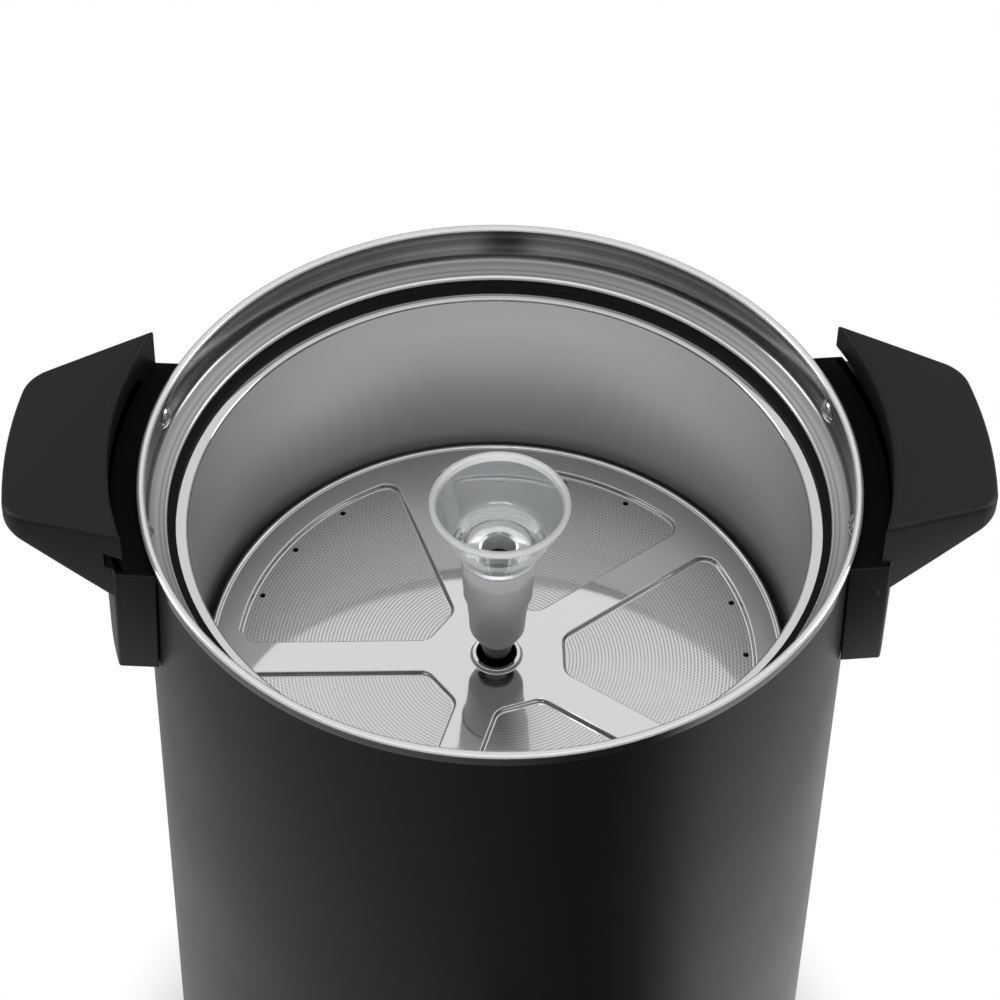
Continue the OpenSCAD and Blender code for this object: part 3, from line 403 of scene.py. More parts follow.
# The same plastic where the mould left it hazy: milky grey
HAZE = ClearPlastic(
    "hazy polycarbonate", "#eceeef", rough=0.4, mark_mm=3.0, depth_mm=0.002, tint=0.02,
    spread=0.04, clear=0.4)
# Moulded acrylic of the ready light: clear, deep amber
AMBER = ClearPlastic("amber acrylic", "#e8861c", rough=0.12, mark_mm=1.0, depth_mm=0.01, tint=0.05)
# Extruded silicone round the wires: plain dull colours that tell them apart
LIVE = Finish("red wire cover", "#8a1d18", rough=0.5, mark_mm=0.5, depth_mm=0.02)
NEUTRAL = Finish("blue wire cover", "#1f3f86", rough=0.5, mark_mm=0.5, depth_mm=0.02)
ELEMENT = Finish("grey wire cover", "#3c3c3d", rough=0.5, mark_mm=0.5, depth_mm=0.02)

# The finish of each node that stays in view
CAD_FINISHES: dict[str, Finish] = {
    "tank_gasket": RUBBER, "handle_rivets": POLISHED, "handle_screws": PLATED, "heat_well": SATIN,
    "well_gasket": SILICONE, "well_nut": PLATED, "perk_heater": CAST, "warm_heater": CAST,
    "thermostat": CERAMIC, "thermal_cutout": CERAMIC, "tank_posts": PLATED, "base_plate": COAT,
    "base_screws": PLATED, "feet": RUBBER, "power_inlet": PROPYLENE, "inlet_pins": PLATED,
    "switch_housing": PROPYLENE, "switch_rocker": PROPYLENE, "ready_lens": AMBER,
    "ready_lamp": CERAMIC, "lead_live": LIVE, "lead_neutral": NEUTRAL, "lead_element": ELEMENT,
    "tap_saddle": RUBBER, "tap_spacer": PROPYLENE, "tap_seal": SILICONE, "tap_nut": PROPYLENE,
    "valve_rod": PLATED, "valve_seal": SILICONE, "lever_pin": PLATED, "pump_foot": SATIN,
    "pump_washer": PLATED, "brew_basket": SATIN,
}


# Shapes

# Steps of a full turn: the widest rims, other large rings and small parts
WIDE_TURN, LARGE_TURN, SMALL_TURN = 320, 240, 96
# Corners of an outline that are straighter than this, in radians, stay as they are
STRAIGHT = 0.01
# Distance within which points are merged, in metres
MERGE = 1e-6


def arc(centre: Point, radius: float, start: float, end: float, steps: int = 10) -> list[Point]:
    """Points of a round stretch of an outline.

    Args:
        centre: Its centre.
        radius: Its radius.
        start: First angle in degrees.
        end: Last angle in degrees.
        steps: Number of chords.

    Returns:
        The points in order.
    """
    angles = [math.radians(start + (end - start) * i / steps) for i in range(steps + 1)]
    return [(centre[0] + radius * math.cos(a), centre[1] + radius * math.sin(a)) for a in angles]


def rounded(corners: Sequence[Corner], steps: int = 6) -> list[Point]:
    """An open outline whose inner corners are rounded.

    Args:
        corners: Place and radius of each corner.
        steps: Chords for each rounding.

    Returns:
        The points in order.
    """
    points: list[Point] = [corners[0][:2]]
    for before, here, after in zip(corners, corners[1:], corners[2:]):
        corner, radius = Vector(here[:2]), here[2]
        back, on = Vector(before[:2]) - corner, Vector(after[:2]) - corner
        angle = back.angle(on)
        if radius <= 0 or angle > math.pi - STRAIGHT:
            points.append(here[:2])
            continue
        back, on = back.normalized(), on.normalized()
        reach = radius / math.tan(angle / 2)
        middle = corner + (back + on).normalized() * radius / math.sin(angle / 2)
        first, last = corner + back * reach - middle, corner + on * reach - middle
        swing = first.angle_signed(last)
        for i in range(steps + 1):
            turn = -swing * i / steps
            points.append((
                middle.x + first.x * math.cos(turn) - first.y * math.sin(turn),
                middle.y + first.x * math.sin(turn) + first.y * math.cos(turn),
            ))
    points.append(corners[-1][:2])
    return points


def sheet(path: Sequence[Point], thick: float) -> list[Point]:
    """Closed outline of a sheet that lies on the left of a path.

    Args:
        path: Points of one face.
        thick: Thickness of the sheet.

    Returns:
        The points of both faces in order.
    """
    points = [Vector(p) for p in path]
    sides = [(b - a).normalized().orthogonal() for a, b in zip(points, points[1:])]
    far = []
    for i, point in enumerate(points):
        a, b = sides[max(i - 1, 0)], sides[min(i, len(sides) - 1)]
        far.append(point + (a + b) / (1 + a.dot(b)) * thick)
    return [tuple(p) for p in points] + [tuple(p) for p in reversed(far)]


def only(geom: Iterable[object], kind: type) -> list:
    """Picks one kind of geometry out of an operator's result."""
    return [g for g in geom if isinstance(g, kind)]


def lathe(points: Sequence[Point], closed: bool = True, steps: int = LARGE_TURN) -> Mesh:
    """Spins an outline round the Z axis.

    Args:
        points: Radius and height of the outline's points, in millimetres.
        closed: Whether the last point joins the first.
        steps: Number of steps in the turn.

    Returns:
        The spun mesh.
    """
    bm = bmesh.new()
    verts = [bm.verts.new((r * MM, 0, z * MM)) for r, z in points]
    edges = [bm.edges.new(pair) for pair in zip(verts, verts[1:])]
    if closed:
        edges.append(bm.edges.new((verts[-1], verts[0])))
    bmesh.ops.spin(
        bm, geom=verts + edges, cent=(0, 0, 0), axis=(0, 0, 1), angle=math.tau, steps=steps,
        use_merge=True)
    return tidy(bm)


def tidy(bm: Mesh) -> Mesh:
    """Merges doubled points and turns the faces outwards.

    Args:
        bm: The mesh.

    Returns:
        The same mesh.
    """
    bmesh.ops.remove_doubles(bm, verts=bm.verts, dist=MERGE)
    bmesh.ops.recalc_face_normals(bm, faces=bm.faces)
    return bm


def plate(outline: Sequence[Point], bottom: float, top: float) -> Mesh:
    """Raises a flat outline into a block.

    Args:
        outline: Points from above, in millimetres.
        bottom: Height of its underside.
        top: Height of its top.

    Returns:
        The block.
    """
    bm = bmesh.new()
    face = bm.faces.new([bm.verts.new((x * MM, y * MM, bottom * MM)) for x, y in outline])
    up = bmesh.ops.extrude_face_region(bm, geom=[face])["geom"]
    bmesh.ops.translate(bm, verts=only(up, Vert), vec=(0, 0, (top - bottom) * MM))
    return tidy(bm)


def box(low: Sequence[float], high: Sequence[float]) -> Mesh:
    """A block between two corners.

    Args:
        low: Its lowest corner, in millimetres.
        high: Its highest corner, in millimetres.

    Returns:
        The block.
    """
    bm = bmesh.new()
    bmesh.ops.create_cube(bm, size=1)
    a, b = Vector(low) * MM, Vector(high) * MM
    bmesh.ops.scale(bm, verts=bm.verts, vec=b - a)
    bmesh.ops.translate(bm, verts=bm.verts, vec=(a + b) / 2)
    return bm


def rod(radius: float, length: float, place: Matrix, segments: int) -> Mesh:
    """A solid round rod.

    Args:
        radius: Its radius, in millimetres.
        length: Its length, in millimetres.
        place: Where its middle goes and how it is turned from the Z axis.
        segments: Number of its sides.

    Returns:
        The rod.
    """
    bm = bmesh.new()
    bmesh.ops.create_cone(
        bm, cap_ends=True, segments=segments, radius1=radius * MM, radius2=radius * MM,
        depth=length * MM, matrix=place)
    return bm


def move(bm: Mesh, way: Sequence[float]) -> Mesh:
    """Moves a mesh by millimetres and gives it back."""
    bmesh.ops.translate(bm, verts=bm.verts, vec=[part * MM for part in way])
    return bm


def rotate(bm: Mesh, degrees: float, axis: str = "Z") -> Mesh:
    """Turns a mesh round an axis through the origin and gives it back."""
    bmesh.ops.rotate(bm, verts=bm.verts, matrix=Matrix.Rotation(math.radians(degrees), 3, axis))
    return bm


def soften(bm: Mesh, edges: Iterable[Edge], width: float, segments: int) -> None:
    """Rounds edges.

    Args:
        bm: The mesh.
        edges: The edges.
        width: Width of the rounding, in millimetres.
        segments: Steps of the rounding.
    """
    bmesh.ops.bevel(
        bm, geom=list(edges), offset=width * MM, offset_type="OFFSET", affect="EDGES",
        segments=segments, profile=0.5, material=-1, clamp_overlap=True)


def sharp_edges(bm: Mesh, degrees: float) -> list[Edge]:
    """Edges where two faces meet at more than an angle.

    Args:
        bm: The mesh.
        degrees: The least angle.

    Returns:
        The edges.
    """
    limit = math.radians(degrees)
    return [e for e in bm.edges if e.is_manifold and e.calc_face_angle(0) > limit]


def ring_edges(bm: Mesh, ring: Sequence[Vert]) -> list[Edge]:
    """Edges of a closed line whose points are given in order."""
    return [bm.edges.get(pair) for pair in zip(ring, list(ring[1:]) + list(ring[:1]))]


def settle(bm: Mesh, name: str) -> bpy.types.Mesh:
    """Writes a mesh into a data block of its own.

    Args:
        bm: The mesh, which is freed.
        name: Name of the data block.

    Returns:
        The data block.
    """
    mesh = bpy.data.meshes.new(name)
    bm.to_mesh(mesh)
    bm.free()
    return mesh


def put(name: str, data: bpy.types.ID) -> bpy.types.Object:
    """Adds an object to the scene.

    Args:
        name: Its name.
        data: Its mesh, light or camera.

    Returns:
        The object.
    """
    obj = bpy.data.objects.new(name, data)
    bpy.context.scene.collection.objects.link(obj)
    return obj


def join(parts: Sequence[Mesh]) -> Mesh:
    """Puts several meshes in one.

    Args:
        parts: The meshes, which are freed.

    Returns:
        One mesh with all of them.
    """
    whole = bmesh.new()
    for part in parts:
        mesh = settle(part, "joining")
        whole.from_mesh(mesh)
        bpy.data.meshes.remove(mesh)
    return whole


def carve(bm: Mesh, cutter: Mesh) -> Mesh:
    """Cuts one solid out of another.

    Args:
        bm: The solid, which is freed.
        cutter: What is cut out of it, which is freed.

    Returns:
        The rest of the solid.
    """
    objects = [put(name, settle(part, name)) for name, part in (("carved", bm), ("cutter", cutter))]
    cut = objects[0].modifiers.new("cut", "BOOLEAN")
    cut.operation, cut.solver, cut.object = "DIFFERENCE", "EXACT", objects[1]
    graph = bpy.context.evaluated_depsgraph_get()
    result = bpy.data.meshes.new_from_object(objects[0].evaluated_get(graph))
    rest = bmesh.new()
    rest.from_mesh(result)
    bpy.data.meshes.remove(result)
    for obj in objects:
        mesh = obj.data
        bpy.data.objects.remove(obj)
        bpy.data.meshes.remove(mesh)
    return rest


@dataclass
class Dresser:
    """Turns meshes into pieces that ride on the part's bodies.

    Attributes:
        made: Names of the pieces made so far.
    """

    made: list[str] = field(default_factory=list)

    def piece(
        self, name: str, bm: Mesh, finishes: Sequence[Finish], nodes: Sequence[str],
        body: str = "urn", crease: float = 35,
    ) -> bpy.types.Object:
        """Makes one piece that stands for some of the part's nodes.

        Args:
            name: Name of the piece.
            bm: Its mesh in place, which is freed.
            finishes: Its finishes, in the order of the faces' material numbers.
            nodes: Nodes that it replaces.
            body: Body that it rides on.
            crease: Angle beyond which an edge is drawn sharp, in degrees.

        Returns:
            The object.
        """
        for face in bm.faces:
            face.smooth = True
        mesh = settle(bm, name)
        mesh.set_sharp_from_angle(angle=math.radians(crease))
        for finish in finishes:
            mesh.materials.append(finish.material())
        obj = put(name, mesh)
        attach(obj, body)
        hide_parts(*nodes)
        self.made.append(name)
        LOG.info("piece %s: %d faces", name, len(mesh.polygons))
        return obj

    def dress_nodes(self) -> None:
        """Gives every node that stays in view its finish."""
        for name, finish in CAD_FINISHES.items():
            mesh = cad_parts[name].data
            mesh.materials.clear()
            mesh.materials.append(finish.material())


# Sub-assemblies, with all sizes in millimetres


@dataclass
class Vessel:
    """The shell, its rolled rim collar and the tank inside.

    Attributes:
        height: Height of the rim.
        rim_r: Outside radius of the rim.
        sheet_t: Thickness of the sheet steel.
        slip: Gap between the collar and the shell.
        shell_z: Lower and upper end of the shell.
        shell_edge: Rounding of the shell's cut edges.
        lip_r: Radius of the rolled lip.
        skirt_h: How far the lip's outer leg reaches below the rim.
        knee_h: How far below the rim the collar turns inwards.
        knee_r: Rounding of that turn.
        shoulder_w: How far the shoulder reaches in from the rim.
        hem_h: How far below the rim the middle of the shoulder's hem lies.
        hem_r: Radius of the hem.
        hem_w: How far the hem's fold reaches back under the shoulder.
        tank_r: Inside radius of the tank.
        flange_h: How far below the rim the tank's flange lies.
        flange_w: Distance of the flange's edge from the rim.
        curl_r: Radius of the tank's curled edge.
        corner_r: Rounding of the tank's lower corner.
        floor_z: Height of the tank floor.
        well_hole: Radius of the hole for the heating well.
    """

    height: float = 360
    rim_r: float = 115
    sheet_t: float = 0.8
    slip: float = 0.1
    shell_z: Point = (36, 358.6)
    shell_edge: float = 0.2
    lip_r: float = 1.3
    skirt_h: float = 4.4
    knee_h: float = 14
    knee_r: float = 2.2
    shoulder_w: float = 8.8
    hem_h: float = 17.7
    hem_r: float = 1.2
    hem_w: float = 4.6
    tank_r: float = 99.75
    flange_h: float = 20.7
    flange_w: float = 4.2
    curl_r: float = 1.4
    corner_r: float = 10
    floor_z: float = 78
    well_hole: float = 27.5

    def build(self, dresser: Dresser) -> None:
        """Makes the shell, the collar and the tank.

        Args:
            dresser: Where the pieces go.
        """
        dresser.piece("shell_skin", self.shell(), [COAT], ["outer_shell"])
        dresser.piece(
            "collar_skin", self.collar(), [LIP_HIGHLIGHT, SPUN_STREAKED], ["rim_collar"], crease=50)
        dresser.piece(
            "tank_skin", self.tank(), [TANK, POLISHED], ["inner_tank"], crease=50)

    def shell(self) -> Mesh:
        """The plain round shell.

        Returns:
            Its mesh.
        """
        outside = self.rim_r - self.sheet_t - self.slip
        inside, (low, high) = outside - self.sheet_t, self.shell_z
        return lathe(rounded([
            (inside, low, 0), (outside, low, self.shell_edge), (outside, high, self.shell_edge),
            (inside, high, 0)]))

    def collar(self) -> Mesh:
        """The stepped collar with its rolled lip and folded shoulder edge.

        Returns:
            Its mesh.
        """
        top, lip, hem = self.height, self.lip_r, self.hem_r
        wall, shoulder, hem_z = self.rim_r - 2 * lip, self.rim_r - self.shoulder_w, top - self.hem_h
        # The step runs towards the start of the hem's curve, which takes over from there
        step = rounded([
            (wall, top - lip, 0), (wall, top - self.knee_h, self.knee_r),
            (shoulder + hem * 0.4, hem_z + hem * 0.95, 0)])
        path = (
            [(self.rim_r, top - self.skirt_h)]
            + arc((self.rim_r - lip, top - lip), lip, 0, 180, 14)
            + step[1:-1]
            + arc((shoulder + hem, hem_z), hem, 120, 270, 10)
            + [(shoulder + self.hem_w, hem_z - hem)])
        bm = lathe(sheet(path, self.sheet_t), steps=WIDE_TURN)
        # The lip and the hem take the painted highlight, the wall between them the spun steel with its
        # painted streaks
        for face in bm.faces:
            middle = face.calc_center_median()
            below_lip, outside_hem = middle.z / MM < top - 2 * lip, middle.xy.length / MM > shoulder + hem
            face.material_index = int(below_lip and outside_hem)
        return bm

    def tank(self) -> Mesh:
        """The tank with its flange, curled edge and rounded floor.

        Returns:
            Its mesh.
        """
        flange_z, curl, corner = self.height - self.flange_h, self.curl_r, self.corner_r
        path = (
            [(self.rim_r - self.flange_w, flange_z)]
            + arc((self.tank_r + curl, flange_z - curl), curl, 90, 180, 8)
            + arc((self.tank_r - corner, self.floor_z + corner), corner, 0, -90, 12)
            + [(self.well_hole, self.floor_z)])
        bm = lathe(sheet(path, self.sheet_t), steps=WIDE_TURN)
        for face in bm.faces:
            face.material_index = int(face.calc_center_median().z / MM > flange_z - curl)
        return bm


@dataclass
class Handle:
    """A side handle: a hollow wedge grip on a curved pad, with a slot for a lid tab.

    Attributes:
        side: Name of its side.
        angle: Direction in which it points, in degrees.
        height: Height of the rim.
        pocket_r: Radius of the grip's inner wall.
        grip_r: Radius of the grip's outer edge.
        crest: How far the grip's top stands over the rim at the inner wall.
        fall: How far its top falls from there to the outer edge.
        depth: How far the grip's underside lies below the rim at the inner wall.
        climb: How far its underside rises from there to the outer edge.
        wall_t: Thickness of the grip's walls.
        back_t: Thickness of its inner wall.
        edge_r: Rounding of its edges.
        corner_r: Radius of its outer corners from above.
        flank: Rise and run of its sides from above, where the corners begin.
        rim_wall: Radius at which half_in is measured.
        half_in: Half the length of the grip and pad at the rim.
        half_out: Half the length of the grip's outer edge.
        pad_r: Inner and outer radius of the pad.
        pad_z: Lower and upper height of the pad.
        pad_over: How far the pad's top reaches past half_in at each end.
        pad_edge: Rounding of the pad's edges.
        half_foot: Half the length of the pad at its foot.
        slot_w: How far the lid slot reaches inside and outside the grip's inner wall.
        slot_h: Height of the slot.
        slot_ends: Angle from the pad's end to the slot's start, and angle of the slot's end.
    """

    side: str
    angle: float
    height: float = 360
    pocket_r: float = 123.5
    grip_r: float = 157
    crest: float = 11.5
    fall: float = 8.5
    depth: float = 20
    climb: float = 15.5
    wall_t: float = 3
    back_t: float = 8
    edge_r: float = 2
    corner_r: float = 11
    flank: Point = (26, 84)
    rim_wall: float = 112.4
    half_in: float = 46.5
    half_out: float = 33.5
    pad_r: Point = (114.4, 126.6)
    pad_z: Point = (305, 355.5)
    pad_over: float = 0.3
    pad_edge: float = 0.8
    half_foot: float = 41
    slot_w: Point = (6, 5)
    slot_h: float = 6
    slot_ends: Point = (4, 32)

    def top(self, r: float) -> float:
        """Height of the grip's top at a distance from the urn's axis."""
        return self.height + self.crest - self.fall * (r - self.pocket_r) / (self.grip_r - self.pocket_r)

    def under(self, r: float) -> float:
        """Height of the grip's underside at a distance from the urn's axis."""
        return self.height - self.depth + self.climb * (r - self.pocket_r) / (self.grip_r - self.pocket_r)

    def outline(self, inset: float, near_r: float) -> list[Point]:
        """The grip from above, pointing along +X.

        Args:
            inset: How far the sides and the outer edge move in.
            near_r: Radius of its inner end.

        Returns:
            The points in order.
        """
        corner, outer, end = self.corner_r - inset, self.grip_r - inset, self.half_out - inset
        tilt = math.asin((end - corner) / (outer - corner))
        centre = ((outer - corner) * math.cos(tilt), (outer - corner) * math.sin(tilt))
        side = 90 - math.degrees(math.atan2(*self.flank))
        start = arc(centre, corner, side, side, 1)[0]
        slope = (start[1] - self.half_in + inset) / (start[0] - self.rim_wall)
        # Each round brings y nearer to where the side's line meets the inner end's arc
        y = self.half_in - inset
        for _ in range(12):
            y = self.half_in - inset + slope * (math.sqrt(near_r ** 2 - y ** 2) - self.rim_wall)
        half = math.degrees(math.asin(y / near_r))
        far = arc(centre, corner, side, math.degrees(tilt), 10)
        edge = arc((0, 0), outer, math.degrees(tilt), -math.degrees(tilt), 14)[1:-1]
        near = arc((0, 0), near_r, -half, half, 24)
        last, first = Vector(near[-1]), Vector(far[0])
        flank = [tuple(last.lerp(first, i / 8)) for i in range(1, 8)]
        lower = [(x, -y) for x, y in reversed(flank + far)]
        return near + flank + far + edge + lower

    def block(self, inset: float, near_r: float, drop: float) -> Mesh:
        """A block between the grip's sloping top and underside.

        Args:
            inset: How far it shrinks at the sides, the outer edge and the top.
            near_r: Radius of its inner end.
            drop: How far it reaches below the grip's underside.

        Returns:
            Its mesh, pointing along +X.
        """
        bm = plate(self.outline(inset, near_r), 0, 1)
        for vert in bm.verts:
            r = math.hypot(vert.co.x, vert.co.y) / MM
            vert.co.z = (self.top(r) - inset if vert.co.z > 0.5 * MM else self.under(r) - drop) * MM
        bm.normal_update()
        return bm

    def grip(self) -> Mesh:
        """The hollow grip with its rounded edges, open below.

        Returns:
            Its mesh, pointing along +X.
        """
        # Edges that climb more than this stay sharp, and the hollow is cut this far past the underside
        upright, past = 4, 12
        bm = self.block(0, self.pocket_r, 0)
        edges = sharp_edges(bm, 50)
        level = [e for e in edges if abs(e.verts[0].co.z - e.verts[1].co.z) < upright * MM]
        soften(bm, level, self.edge_r, 5)
        return carve(bm, self.block(self.wall_t, self.pocket_r + self.back_t, past))

    def pad(self) -> Mesh:
        """The pad on the shell, which narrows towards its foot.

        Returns:
            Its mesh, pointing along +X.
        """
        inner, outer = (math.degrees(math.asin((self.half_in + self.pad_over) / r)) for r in self.pad_r)
        bm = plate(
            arc((0, 0), self.pad_r[0], -inner, inner, 28) + arc((0, 0), self.pad_r[1], outer, -outer, 28),
            *self.pad_z)
        for vert in bm.verts:
            if vert.co.z < (self.pad_z[0] + 1) * MM:
                r = math.hypot(vert.co.x, vert.co.y)
                vert.co.y *= self.half_foot / self.half_in
                vert.co.x = math.sqrt(r ** 2 - vert.co.y ** 2)
        bm.normal_update()
        soften(bm, sharp_edges(bm, 50), self.pad_edge, 4)
        # Faces that look up lie deep in the pocket under the grip and take the painted shade
        facing_up = 0.9
        for face in bm.faces:
            face.material_index = int(face.normal.z > facing_up)
        return bm

    def sector(self, section: Sequence[Point], start: float, end: float) -> Mesh:
        """Sweeps a section round the urn's axis and closes both ends.

        Args:
            section: Radius and height of its points.
            start: First angle in degrees.
            end: Last angle in degrees.

        Returns:
            The swept block.
        """
        bm = bmesh.new()
        verts = [bm.verts.new((r * MM, 0, z * MM)) for r, z in section]
        edges = [bm.edges.new(pair) for pair in zip(verts, verts[1:] + verts[:1])]
        rotate(bm, start)
        done = bmesh.ops.spin(
            bm, geom=verts + edges, cent=(0, 0, 0), axis=(0, 0, 1),
            angle=math.radians(end - start), steps=32)["geom_last"]
        bm.faces.new(verts)
        bmesh.ops.contextual_create(bm, geom=only(done, Vert) + only(done, Edge))
        return tidy(bm)

    def build(self, dresser: Dresser) -> None:
        """Makes the handle in place.

        Args:
            dresser: Where the piece goes.
        """
        start = self.slot_ends[0] - math.degrees(math.asin(self.half_in / self.pad_r[1]))
        inside, outside = self.pocket_r - self.slot_w[0], self.pocket_r + self.slot_w[1]
        low, high = self.pad_z[1], self.pad_z[1] + self.slot_h
        slot = self.sector(
            [(inside, low), (outside, low), (outside, high), (inside, high)], start, self.slot_ends[1])
        bm = rotate(join([carve(self.grip(), slot), self.pad()]), self.angle)
        dresser.piece(
            "moulded_handle_" + self.side, bm, [PHENOLIC, MATT_SHADED], ["handle_" + self.side])


@dataclass
class BrewSet:
    """The cover, the percolator stem and the clear funnel on it.

    Attributes:
        cover_z: Height of the cover's top.
        cover_r: Radius of the cover.
        cover_t: Thickness of its sheet.
        edge_w: Width of its edge with the bead.
        bead_r: Radius of the bead.
        skirt_h: How far its edge is turned down.
        hub_r: Radius at which its middle collar begins.
        hole_r: Radius of the collar's hole.
        hub_h: Height of the collar.
        spokes: Number of its spokes.
        spoke_half: Half the width of a spoke.
        sector_in: Distance of the sectors' inner edges from the axis.
        sector_out: Distance of the sectors' outer edges from the cover's edge.
        sector_corner: Radius of the sectors' corners.
        press: Inset and depth along the section of a sector's rounded wall.
        vent_r: Radius of the vents near the cover's edge.
        vent_in: Distance of the vents from the cover's edge.
        vent_turn: Angle between the vents of a sector, in degrees.
        stem_r: Radius of the stem.
        stem_t: Thickness of its wall.
        stem_z: Lower and upper end of the stem.
        seat_z: Height of the basket's seat on the stem.
        seat_r: Radius of that seat.
        funnel_z: Lower end and mouth of the funnel.
        mouth_r: Radius of the funnel's mouth.
        waist_h: How far below the mouth the funnel's waist lies.
        floor_h: How far below the mouth the floor of the funnel's bowl lies.
    """

    cover_z: float = 270
    cover_r: float = 96.95
    cover_t: float = 0.8
    edge_w: float = 2.4
    bead_r: float = 0.9
    skirt_h: float = 6
    hub_r: float = 10
    hole_r: float = 6.8
    hub_h: float = 1.5
    spokes: int = 5
    spoke_half: float = 6.25
    sector_in: float = 22
    sector_out: float = 9.5
    sector_corner: float = 6
    press: tuple[Point, ...] = (
        (0.1, 0), (0.35, 0.12), (0.6, 0.5), (0.8, 1.1), (1.05, 1.48), (1.35, 1.6), (1.5, 1.6))
    vent_r: float = 1
    vent_in: float = 13
    vent_turn: float = 16
    stem_r: float = 5
    stem_t: float = 1.2
    stem_z: Point = (68, 318)
    seat_z: float = 206.2
    seat_r: float = 9.5
    funnel_z: Point = (280, 345.5)
    mouth_r: float = 23
    waist_h: float = 25.5
    floor_h: float = 21

    def build(self, dresser: Dresser) -> None:
        """Makes the three pieces.

        Args:
            dresser: Where the pieces go.
        """
        dresser.piece(
            "pressed_cover", self.cover(), [PRESSED, PIERCED], ["basket_cover"],
            "cover", 30)
        dresser.piece("stem_tube", self.stem(), [STEM], ["perc_stem"], "stem")
        dresser.piece(
            "funnel_moulding", self.funnel(), [CLEAR, EDGE_HIGHLIGHT, HAZE],
            ["clear_funnel"], "funnel", 60)

    def stem(self) -> Mesh:
        """The tube with its basket seat and funnel stop.

        Returns:
            Its mesh.
        """
        r, bore, (low, high), seat = self.stem_r, self.stem_r - self.stem_t, self.stem_z, self.seat_z
        stop, stop_r = self.funnel_z[0], self.stem_r + 1.2
        return lathe(rounded([
            (bore, low, 0), (r, low, 0.3), (r, seat - 5, 1), (self.seat_r, seat - 1.5, 0.5),
            (self.seat_r, seat, 0.4), (r, seat, 0.3), (r, stop - 2.4, 0.4), (stop_r, stop - 1.4, 0.3),
            (stop_r, stop, 0.3), (r, stop, 0.2), (r, high, 0.4), (bore, high, 0)]), steps=72)

    def funnel(self) -> Mesh:
        """The clear funnel with its socket, waist and flared bowl.

        Returns:
            Its mesh.
        """
        (low, top), r, mouth = self.funnel_z, self.stem_r, self.mouth_r
        waist, floor = top - self.waist_h, top - self.floor_h
        outside = [
            (r + 0.1, low, 0), (r + 1.6, low, 0.4), (r + 4.2, low + 5, 3), (r + 4.6, low + 12, 0),
            (r + 5.7, low + 22, 0.3), (r + 6.4, low + 22, 0.3), (r + 6.4, low + 24, 0.3),
            (r + 7.2, waist - 5, 0), (r + 8, waist + 3, 8), (mouth - 0.6, top - 2.6, 1),
            (mouth, top - 1.4, 0.7), (mouth, top, 1)]
        bowl = [
            (mouth - 2.2, top, 0.8), (mouth - 2.8, top - 2.4, 2), (r + 9.6, waist + 9, 8),
            (r + 5.6, floor + 1, 3), (r + 1.4, floor, 0.6), (r + 0.6, floor - 0.8, 0.3)]
        socket = [
            (r + 0.6, floor - 1.6, 0.3), (r + 6.2, floor - 3.4, 1.2), (r + 5.8, waist - 5, 2),
            (r + 3.6, low + 22, 1), (r + 0.1, low + 21, 0)]
        bm = lathe(rounded(outside + bowl + socket, 5), steps=160)
        neck_z = waist - 6
        # The thick mouth, neck and drain get the painted highlight, and the socket below them is hazy
        for face in bm.faces:
            middle = face.calc_center_median() / MM
            reach = math.hypot(middle.x, middle.y)
            neck = neck_z < middle.z < waist + 1 and reach > r + 7
            drain = abs(middle.z - floor) < 1.4 and 6.2 < reach < 10.5
            if middle.z > top - 1.5 or neck or drain:
                face.material_index = 1
            elif middle.z < neck_z:
                face.material_index = 2
        return bm

    def sector(self, inset: float) -> list[Point]:
        """Outline of one pressed sector whose middle lies along +X.

        Args:
            inset: How far the outline shrinks.

        Returns:
            The points in order.
        """
        corner, turn = self.sector_corner - inset, math.pi / self.spokes
        out, near = self.cover_r - self.sector_out - inset, self.sector_in + inset
        half = self.spoke_half + inset
        normal = (math.sin(turn), -math.cos(turn))
        x, off = near + corner, half + corner
        first = (x, (normal[0] * x - half - corner) / math.cos(turn))
        along = math.sqrt((out - corner) ** 2 - off ** 2)
        last = (along * math.cos(turn) + off * normal[0], along * math.sin(turn) + off * normal[1])
        end = math.degrees(math.atan2(last[1], last[0]))
        side = 90 + math.degrees(turn)
        upper = arc(first, corner, 180, side, 6) + arc(last, corner, side, end, 8)
        rim = arc((0, 0), out, end, -end, 24)[1:-1]
        return upper + rim + [(px, -py) for px, py in reversed(upper)]

    def cover(self) -> Mesh:
        """The pressed cover: a flat disc with a beaded edge, a collar and sunk, pierced sectors.

        Returns:
            Its mesh.
        """
        top, under, rim, bead = self.cover_z, self.cover_z - self.cover_t, self.cover_r, self.bead_r
        start, inside, foot = rim - self.edge_w, rim - self.cover_t, top - self.skirt_h
        edge = lathe(
            [(start, top), (rim - 2 * bead - 0.2, top)]
            + arc((rim - bead, top - 0.1), bead, 165, 0)
            + [(rim, foot), (inside, foot), (inside, under), (start, under)], closed=False)
        hub, hole, crown = self.hub_r, self.hole_r, top + self.hub_h
        collar = lathe(rounded([
            (hub, under, 0), (hole, under, 0), (hole, crown, 0.2), (hole + 1.4, crown, 0.5),
            (hole + 1.8, top, 0.4), (hub, top, 0)]), closed=False)
        return join([edge, collar, self.face()])

